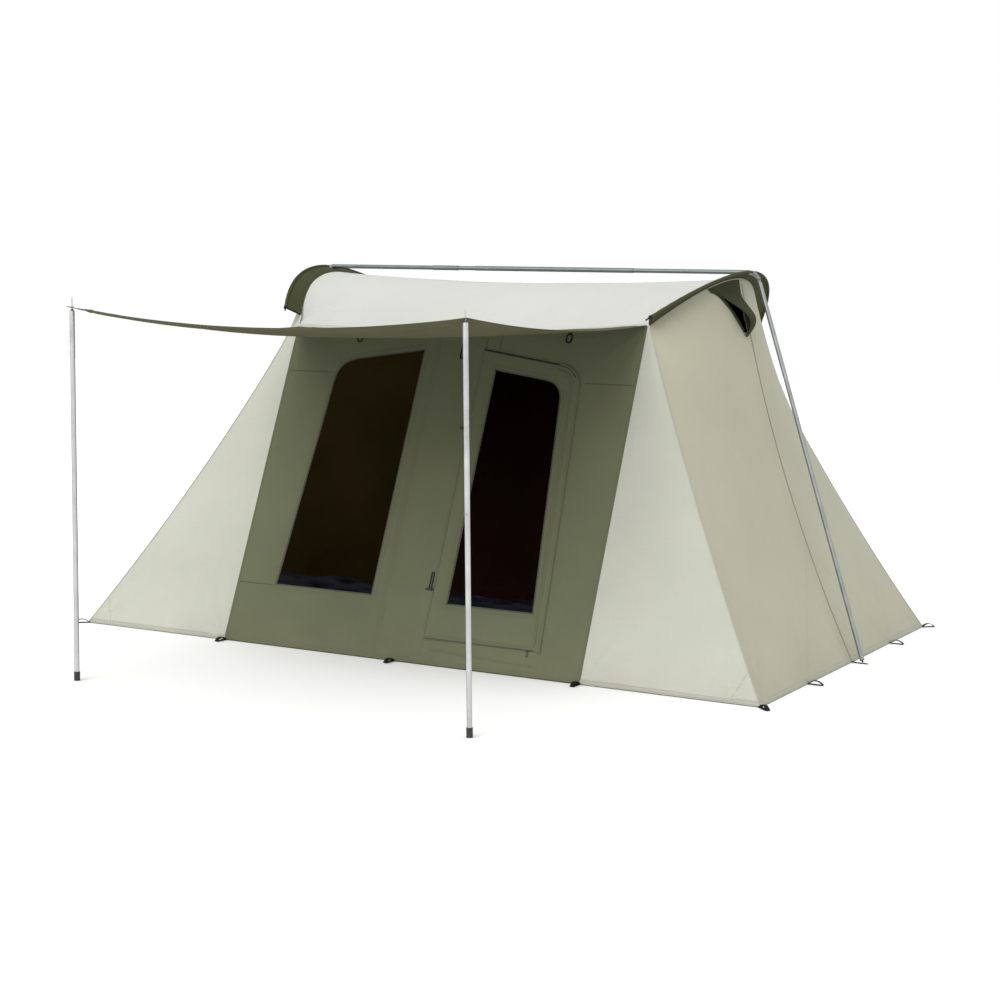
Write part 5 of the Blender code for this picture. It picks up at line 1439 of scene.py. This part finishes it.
@dataclass
class Door:
    """Door of a long wall: panel, mesh window, storm flap and zips."""

    wall: LongWall

    def build(self) -> None:
        """Builds and dresses the door."""
        wall = self.wall
        body, zip_body = f"{wall.place}_door", f"{wall.place}_zip"
        panel = wall.cut("door_canvas", grown(wall.door, -0.0008), [wall.port], 0.0016)
        settle(panel, Finish.GREEN, body, [f"{wall.place}_door_panel"])
        wall.strip("port_hem", grown(wall.port, 0.014), Trim.HEM, Finish.GREEN_SEAM, 0.0018, True, body)
        wall.strip("port_zip", grown(wall.port, -0.004), Trim.ZIP, Finish.ZIP, -0.0006, True, body)
        screen = wall.cut("door_screen", grown(wall.port, 0.014), [], -0.003, THIN)
        settle(screen, Finish.DOOR_SCREEN, body, [f"{wall.place}_door_mesh"])
        roll = wall.roll("door_roll", 0.267, 0.780, 0.345)
        settle(roll, Finish.NAVY, body, [f"{wall.place}_door_cover_roll"])
        wall.strip("door_foot_zip", [(0.172, 0.148), (0.83, 0.148)], Trim.ZIP, Finish.ZIP, 0.0022, False, body)
        head = grown(wall.door, 0.001)[5:12]
        wall.strip("door_head_zip", head[::-1], Trim.ZIP, Finish.HEAD_ZIP, 0.0042, False, body)
        foot = [(0.172, 0.166), (0.83, 0.166)]
        wall.strip("door_foot_hem", foot, Trim.FELLED, Finish.GREEN_SEAM, 0.0017, False, body)
        self.build_flap(body)
        self.build_slider(zip_body)

    def build_flap(self, body: str) -> None:
        """Builds the storm flap over the zip at the side and the top.

        Args:
            body: The body that it rides on.
        """
        wall = self.wall
        outer = grown(wall.door, 0.014)[1:11]
        inner = grown(wall.door, -0.034)[1:11]
        outline = [*outer, *inner[::-1]]

        def place(x: float, along: float) -> Vector:
            """Point of the flap, which stands off a little."""
            wave = 0.0012 * noise.noise(Vector((x * 12, along * 9, 5.0)))
            return wall.spot(x, along, 0.0046 + wave)

        flap = thickened(cut_piece(f"{wall.place}_storm_flap", place, outline, [], 0.02, wall.outward), DUCK)
        settle(flap, Finish.GREEN, body)
        wall.strip("flap_edge", grown(wall.door, 0.008)[1:11], Trim.BINDING, Finish.GREEN_SEAM, 0.0050, False, body)
        wall.strip("flap_root", grown(wall.door, -0.028)[1:11], Trim.BINDING, Finish.GREEN_SEAM, 0.0050, False, body)

    def build_slider(self, body: str) -> None:
        """Builds the zip slider with its pull.

        Args:
            body: The body that it rides on.
        """
        wall = self.wall
        x, along = 0.802, 0.145
        centre, out = wall.spot(x, along, 0.0052), wall.outward
        right = wall.turned(Vector((1, 0, 0)))
        up = wall.turned(Vector((0, math.sin(wall.shape.lean), math.cos(wall.shape.lean))))
        pose = Matrix((right, out, up)).transposed().to_4x4()
        pose.translation = centre
        piece = block((0.02, 0.0048, 0.010))
        piece.name = f"{wall.place}_zip_slider"
        for vert in piece.data.vertices:
            if vert.co.x > 0:
                vert.co.z *= 0.62
        soften(piece, 0.0010, 3)
        pull = block((0.009, 0.0016, 0.034), (0, 0.0026, -0.018))
        for vert in pull.data.vertices:
            if vert.co.z > -0.01:
                vert.co.x *= 0.5
        soften(pull, 0.0006, 2)
        pull.select_set(True)
        piece.select_set(True)
        bpy.context.view_layer.objects.active = piece
        bpy.ops.object.join()
        piece.data.transform(pose)
        settle(piece, Finish.PLASTIC, body, [f"{wall.place}_door_zip_slider"])


@dataclass
class Brow:
    """Green brow between the roof's end and the sleeve of a bow."""

    shape: TentShape
    side: int
    name: str
    sleeve: float = 0.0085
    notch: float = 0.034
    gathers: int = 95
    belly_steps: int = 8
    round_steps: int = 17

    def row(self, share: float) -> list[Vector]:
        """Points of the brow from the roof round the bow.

        Args:
            share: Share along the arch.

        Returns:
            The points.
        """
        _, out, up = self.shape.bow_frame(share)
        edge, bow = self.shape.end(1.0, max(-1.0, min(1.0, share))), self.shape.bow(share)
        start = edge + up * 0.0012 - out * 0.003
        finish = bow - out * self.sleeve
        near_tip = smooth_step(0.55, 1.0, abs(share))
        points = []
        for step in range(self.belly_steps + 1):
            part = step / self.belly_steps
            belly = math.sin(math.pi * part)
            fold = 0.0016 * noise.noise(Vector((share * 9, part * 2, self.side * 3.0)))
            fold += 0.0028 * near_tip * math.sin(share * self.gathers + 2.2 * noise.noise(Vector((share * 14, 0, 1))))
            points.append(start.lerp(finish, part) + up * (belly * fold + 0.003 * belly))
        for step in range(1, self.round_steps):
            angle = math.pi - 2 * math.pi * step / self.round_steps
            gather = 1 + 0.10 * near_tip * math.sin(share * self.gathers + 1.0) * math.sin(angle * 0.5 + 1.2)
            points.append(bow + (out * math.cos(angle) + up * math.sin(angle)) * (self.sleeve * gather))
        return [mirrored(point, self.side) for point in points]

    def build(self) -> None:
        """Builds and dresses the brow."""
        gap = self.notch / self.shape.bow_tip[1]
        shares = [*even(60, -1.0, -gap), *even(4, -gap, gap)[1:-1], *even(60, gap, 1.0)]
        grid = [self.row(share) for share in shares]
        last = self.belly_steps + self.round_steps - 1
        opened = {(j, i) for j in range(len(shares) - 1) for i in range(6, last)
                  if abs(shares[j] + shares[j + 1]) / 2 < gap}
        piece = thickened(grid_piece(f"brow_canvas_{self.name}", grid, self.side < 0, frozenset(opened)), CLOTH)
        made = bmesh.new()
        made.from_mesh(piece.data)
        bmesh.ops.recalc_face_normals(made, faces=made.faces)
        made.to_mesh(piece.data)
        made.free()
        settle(piece, Finish.BROW, nodes=[f"brow_{self.name}"])
        for turn, place in ((-1, "front"), (1, "rear")):
            rows = [self.row(turn * 0.994), self.row(turn * 0.98)]
            spots = []
            for i, point in enumerate(rows[0][:last]):
                along = (rows[1][i] - point).normalized()
                path = (rows[0][min(i + 1, last - 1)] - rows[0][max(i - 1, 0)]).normalized()
                normal = along.cross(path) * self.side * turn
                spots.append((point, normal))
            settle(ribbon(f"brow_binding_{place}_{self.name}", spots, Trim.BINDING), Finish.BLACK_WEB)
        under = [(self.row(share)[0], Vector((0, 0, 1))) for share in even(90, -0.998, 0.998)]
        settle(ribbon(f"brow_seam_{self.name}", under, Trim.FELLED), Finish.BROW_SEAM)


@dataclass
class VentHood:
    """Dark hood that stands off the gable over its vent."""

    shape: TentShape
    side: int
    name: str
    standoff: float = 0.092
    height: float = 0.335
    rim_bow: float = 0.7
    bulge_low: float = 2.1

    def reach(self, across: float, down: float, edge: tuple[float, float], root: float) -> float:
        """How far from the gable's middle a point of the hood or of the vent lies.

        Args:
            across: Share from the open edge to the root.
            down: Share from the top down.
            edge: The open edge's reach at the top and at the foot.
            root: The root's reach.

        Returns:
            The reach, as a share of the gable's half width.
        """
        start = edge[0] + (edge[1] - edge[0]) * down**self.rim_bow
        return start + (root - start) * across

    def build(self) -> None:
        """Builds and dresses the hood."""
        tip = (self.shape.roof_top - self.height - self.shape.foot) / (self.shape.roof_top - self.shape.foot)
        outward = Vector((math.cos(self.shape.lean), 0, math.sin(self.shape.lean)))

        def base(across: float, down: float) -> Vector:
            """Point of the hood, from its open edge to the gable's seam."""
            up = 0.996 + (tip - 0.996) * down
            reach = self.reach(across, down, (0.5, 0.09), 0.045)
            bulge = max(0.0, math.sin(math.pi * min(1.0, down) ** self.bulge_low)) ** 0.9
            bulge *= max(0.0, 1 - across**4) ** 0.6 * (0.82 + 0.18 * math.sin(math.pi * across))
            return mirrored(self.shape.end(up, -reach) + outward * (0.0022 + self.standoff * bulge), self.side)

        def crease(across: float, down: float) -> float:
            """Folds of the hood."""
            edge = min(across, 1 - across, down, 1 - down)
            return 0.004 * noise.noise(Vector((across * 3, down * 4, self.side))) * smooth_step(0, 0.2, edge)

        hood = Surface(base, Vector((self.side, -0.2, 0.4)), crease)
        piece = hood.sheet(f"vent_hood_canvas_{self.name}", 36, 48)
        settle(piece, Finish.HOOD, nodes=[f"vent_hood_{self.name}"])
        edge = [hood.at(0.012, share) for share in even(48, 0.01, 0.99)]
        settle(ribbon(f"vent_hood_binding_{self.name}", edge, Trim.BINDING), Finish.HOOD_SEAM)
        self.build_vent(tip)

    def build_vent(self, tip: float) -> None:
        """Builds the mesh vent under the hood, with its bound edge; the near-black mesh is a real vent that also
        paints the shade inside the hood.

        Args:
            tip: Share up the gable of the hood's foot.
        """
        def base(across: float, down: float) -> Vector:
            """Point of the vent, just proud of the gable."""
            up = 0.992 + (tip + 0.012 - 0.992) * down
            reach = self.reach(across, down, (0.49, 0.092), 0.05)
            return mirrored(self.shape.end(up, -reach) + Vector((0.0016, 0, 0.0006)), self.side)

        vent = Surface(base, Vector((self.side, -0.2, 0.4)), lambda across, down: 0.0)
        # Partly painted shade: the vent mesh is near black to stand in for the shade under the hood.
        piece = settle(vent.sheet(f"vent_screen_painted_shade_{self.name}", 24, 30, THIN), Finish.DOOR_SCREEN)
        rim = [vent.at(0.0, share) for share in even(40, 0.02, 0.98)]
        settle(ribbon(f"vent_border_{self.name}", rim, Trim.TAPE), Finish.HOOD)


@dataclass
class Awning:
    """Awning sheet with its hems, corner patches and eyelets."""

    shape: TentShape
    left: float = 1.0724
    right: float = 1.1732
    reach: float = 2.1518
    rise: float = 0.013
    corner: float = 0.022
    front_sag: float = 0.075
    side_sag: float = 0.043
    belly: float = 0.036
    left_sag: float = 0.018
    eave_fade: int = 10
    corner_fade: float = 1.4

    def point(self, side: float, out: float) -> Vector:
        """Point of the awning; side runs from -1 at the left to 1, out from 0 at the eave."""
        middle, half = (self.right - self.left) / 2, (self.right + self.left) / 2 + self.corner
        place = self.shape.panel * side
        drop = self.shape.eave_drop(place) * (1 - out) ** self.eave_fade
        drop += self.shape.slack_drop(place) * (1 - out) ** self.corner_fade
        rear = -self.shape.eave_depth - 0.0022 - drop * math.tan(self.shape.lean)
        x = self.shape.panel * side * (1 - out) + (middle + half * side) * out
        y = rear + (-self.shape.eave_depth - self.reach - self.corner - rear) * out
        along = 4 * out * (1 - out)
        side_sag = self.side_sag - self.left_sag * min(0.0, side)
        z = self.shape.eave_height + self.rise * out - side_sag * along - drop
        return Vector((x, y, z - (1 - side**2) * (self.front_sag * out**1.5 + self.belly * along)))

    def build(self) -> None:
        """Builds and dresses the awning."""
        folds = Creases(61.0, 0.010, 0.003, ((-1.09, 2.17), (1.19, 2.17), (-1.13, 0.0), (1.13, 0.0)), 0.010, 0.34, 11)

        def crease(across: float, out: float) -> float:
            """Folds of the awning."""
            edge = min(across * 2.26, (1 - across) * 2.26, out * 2.17, (1 - out) * 2.17)
            return folds.depth((across - 0.5) * 2.3, out * 2.17, edge + 0.004)

        sheet = Surface(lambda across, out: self.point(across * 2 - 1, out), Vector((0, 0, 1)), crease)
        piece = settle(sheet.sheet("awning_canvas", 110, 104, DUCK), Finish.AWNING, "awning", ["awning_sheet"])
        paths = {
            "front": [sheet.at(share, 0.994) for share in even(90, 0.006, 0.994)],
            "left": [sheet.at(0.006, share) for share in even(90, 0.002, 0.996)],
            "right": [sheet.at(0.994, share) for share in even(90, 0.002, 0.996)],
        }
        for place, path in paths.items():
            self.sew(f"awning_{place}_hem", path, Trim.HEM)
        for side, name in ((0, "left"), (1, "right")):
            turn = 1 if side == 0 else -1
            seam = [sheet.at(side + turn * 0.075 * (1 - share), 1 - 0.085 * share) for share in even(16, 0.08, 0.92)]
            self.sew(f"awning_patch_{name}", seam, Trim.FELLED)
            x = -self.left if side == 0 else self.right
            self.build_eyelet(Vector((x, -self.shape.eave_depth - self.reach, 0)), name)

    def sew(self, name: str, path: Sequence[Spot], trim: Trim) -> None:
        """Sews a strip on the sheet's top and one under it.

        Args:
            name: Name of the strips, without their face's.
            path: Points on the top, each with its normal.
            trim: Their section.
        """
        under = [(point - normal * DUCK, -normal) for point, normal in path]
        for face, spots in (("top", path), ("under", under)):
            settle(ribbon(f"{name}_{face}", spots, trim), Finish.AWNING_SEAM, "awning")

    def build_eyelet(self, place: Vector, name: str) -> None:
        """Builds the brass eyelet that a pole's spike goes through.

        Args:
            place: Its middle, seen from above.
            name: Name of its corner.
        """
        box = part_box("awning_sheet")
        height = self.point(-1 if name == "left" else 1, 1 - self.corner / (self.reach + self.corner)).z
        middle = (place.x, place.y, min(height, box[1].z))
        bpy.ops.object.select_all(action="DESELECT")
        bpy.ops.mesh.primitive_torus_add(major_radius=0.0085, minor_radius=0.0030, major_segments=40,
                                         minor_segments=12, location=middle)
        piece = bpy.context.object
        piece.name = f"awning_eyelet_{name}"
        bpy.ops.object.mode_set(mode="EDIT")
        bpy.ops.mesh.select_all(action="SELECT")
        bpy.ops.transform.resize(value=(1.0, 1.0, 0.62), center_override=middle)
        bpy.ops.object.mode_set(mode="OBJECT")
        bpy.ops.object.transform_apply(location=True, rotation=True, scale=True)
        piece.data.shade_smooth()
        settle(piece, Finish.BRASS, "awning")


@dataclass
class Ground:
    """Floor sheet with its stake loops and the straps of the leaning poles."""

    shape: TentShape
    loop: float = 0.08

    def build(self) -> None:
        """Builds and dresses the floor."""
        side, deep = self.shape.half_width, self.shape.half_depth
        outline = [(-side, -deep), (side, -deep), (side, deep), (-side, deep)]

        def place(x: float, y: float) -> Vector:
            """Point of the floor's face."""
            edge = min(side - abs(x), deep - abs(y))
            lift = 0.0035 * (0.5 + 0.5 * noise.noise(Vector((x * 3, y * 3, 2.0)))) * smooth_step(0.02, 0.2, edge)
            return Vector((x, y, 0.0026 + lift))

        floor = thickened(cut_piece("floor_vinyl_sheet", place, outline, [], 0.06, Vector((0, 0, 1))), 0.0016)
        settle(floor, Finish.VINYL, nodes=["floor_sheet"])
        seam = self.shape.panel
        spots = [(x, turn * deep, 0.0, turn) for x in (-seam, 0.0, seam) for turn in (-1, 1)]
        spots += [(turn * side, y, turn, 0.0) for y in (-0.78, 0.78) for turn in (-1, 1)]
        spots += [(a * side, b * deep, a, b) for a in (-1, 1) for b in (-1, 1)]
        for order, (x, y, a, b) in enumerate(spots):
            self.build_loop(Vector((x, y, 0)), Vector((a, b, 0)).normalized(), f"stake_loop_{order + 1:02d}")
        for turn, name in ((1, "right"), (-1, "left")):
            self.build_strap(turn, name)

    def build_loop(self, root: Vector, out: Vector, name: str) -> None:
        """Builds a webbing stake loop.

        Args:
            root: Where it is sewn to the floor's edge.
            out: Direction that it points.
            name: Name of the piece.
        """
        path = []
        for share in even(14, -0.12, 1.0):
            rise = 0.017 * math.sin(math.pi * min(max(share, 0), 1)) ** 0.8 if share > 0 else 0.0
            path.append((share * self.loop, 0.0052 + rise))
        path += [(self.loop + 0.003, 0.0038)]
        path += [(share * self.loop, 0.0022) for share in even(14, 1.0, -0.12)]
        count = len(path)
        spots = []
        for i, (reach, height) in enumerate(path):
            before, after = path[i - 1], path[(i + 1) % count]
            normal = out * -(after[1] - before[1]) + Vector((0, 0, after[0] - before[0]))
            spots.append((root + out * reach + Vector((0, 0, height)), normal.normalized()))
        settle(ribbon(name, spots, Trim.TAPE, closed=True), Finish.BLACK_WEB)

    def build_strap(self, turn: int, name: str) -> None:
        """Builds the strap that holds a leaning pole's foot.

        Args:
            turn: 1 on the right and -1 on the left.
            name: Name of its side.
        """
        root, out = self.shape.half_width - 0.02, turn
        path = [(root, 0.0075), (root + 0.02, 0.007), (root + 0.045, 0.0035), (root + 0.115, 0.0026)]
        spots = []
        for start, end in zip(path, path[1:]):
            for share in even(5)[:-1]:
                x, z = start[0] + (end[0] - start[0]) * share, start[1] + (end[1] - start[1]) * share
                spots.append((Vector((x * out, 0, z - 0.002)), Vector((0, 0, 1))))
        spots.append((Vector((path[-1][0] * out, 0, path[-1][1] - 0.002)), Vector((0, 0, 1))))
        settle(ribbon(f"pole_strap_{name}", spots, Trim.TAPE), Finish.BLACK_WEB)


@dataclass
class Poles:
    """Finishes of the steel frame, which stays as the CAD has it."""

    finishes: dict[str, Finish] = field(default_factory=lambda: {
        "ridge_button": Finish.TUBE, "ridge_end": Finish.CAST, "ridge": Finish.RIDGE, "bow_rod": Finish.SPRING,
        "upright_foot_pin": Finish.SPRING, "upright": Finish.LEANING, "awning_foot_cap": Finish.PLASTIC,
        "awning_pole": Finish.TUBE, "awning_button": Finish.TUBE})

    def build(self) -> None:
        """Dresses each node of the frame."""
        for name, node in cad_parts.items():
            found = [finish for start, finish in self.finishes.items() if name.startswith(start)]
            if found and not node.hide_render:
                dress(node, found[0])
                LOG.info("%s keeps its CAD shape", name)


@dataclass
class Studio:
    """Camera at the photograph's place, pale floor and soft light."""

    place: tuple[float, float, float] = (5.201, -10.306, 1.892)
    yaw: float = 0.4793
    pitch: float = 0.0963
    roll: float = 0.0286
    lens: float = 67.49
    sky: float = 1.0
    sun: float = 1.8

    def build(self) -> None:
        """Builds the camera, the floor and the lights."""
        self.build_camera()
        self.build_floor()
        self.build_lights()

    def build_camera(self) -> None:
        """Builds the camera."""
        data = bpy.data.cameras.new("camera")
        data.lens, data.sensor_width, data.clip_end = self.lens, 36.0, 200.0
        camera = bpy.data.objects.new("camera", data)
        bpy.context.scene.collection.objects.link(camera)
        bpy.context.scene.camera = camera
        forward = Vector((-math.sin(self.yaw) * math.cos(self.pitch), math.cos(self.yaw) * math.cos(self.pitch),
                          -math.sin(self.pitch)))
        level = Vector((math.cos(self.yaw), math.sin(self.yaw), 0))
        above = level.cross(forward)
        right = level * math.cos(self.roll) + above * math.sin(self.roll)
        up = above * math.cos(self.roll) - level * math.sin(self.roll)
        pose = Matrix((right, up, -forward)).transposed().to_4x4()
        pose.translation = Vector(self.place)
        camera.matrix_world = pose

    def build_floor(self) -> None:
        """Builds the pale studio floor."""
        bpy.ops.object.select_all(action="DESELECT")
        bpy.ops.mesh.primitive_circle_add(vertices=96, radius=60.0, fill_type="NGON", location=(0, 0, -0.0008))
        floor = bpy.context.object
        floor.name = "studio_floor"
        nodes = Nodes("studio_floor_paint")
        body = nodes.add("TexCoord").outputs["Object"]
        tone = nodes.mix(nodes.noise(body, 0.3, 2.0), (0.93, 0.93, 0.93, 1.0), (0.96, 0.96, 0.96, 1.0))
        floor.data.materials.append(nodes.join(Base_Color=tone, Roughness=0.9, Specular_IOR_Level=0.1))

    def build_lights(self) -> None:
        """Builds the white surround and the soft key light."""
        scene = bpy.context.scene
        world = bpy.data.worlds.new("white_surround")
        world.use_nodes = True
        world.node_tree.nodes["Background"].inputs["Color"].default_value = (1.0, 1.0, 1.0, 1.0)
        world.node_tree.nodes["Background"].inputs["Strength"].default_value = self.sky
        scene.world = world
        light = bpy.data.lights.new("soft_key", "SUN")
        light.energy, light.angle, light.color = self.sun, math.radians(50), (1.0, 0.995, 0.98)
        key = bpy.data.objects.new("soft_key", light)
        scene.collection.objects.link(key)
        key.rotation_euler = Vector((0.10, 0.80, -0.66)).to_track_quat("-Z", "Y").to_euler()
        scene.view_settings.view_transform = "Standard"
        scene.view_settings.look = "None"


def main() -> None:
    """Builds the tent's sub-assemblies in order."""
    logging.basicConfig(level=logging.INFO, format="%(message)s")
    shape = TentShape()
    Studio().build()
    Ground(shape).build()
    Canopy(shape).build()
    for rear in (False, True):
        wall = LongWall(shape, rear)
        wall.build()
        Door(wall).build()
    for side, name in ((1, "right"), (-1, "left")):
        Brow(shape, side, name).build()
        VentHood(shape, side, name).build()
    Awning(shape).build()
    Poles().build()


if __name__ == "__main__":
    main()
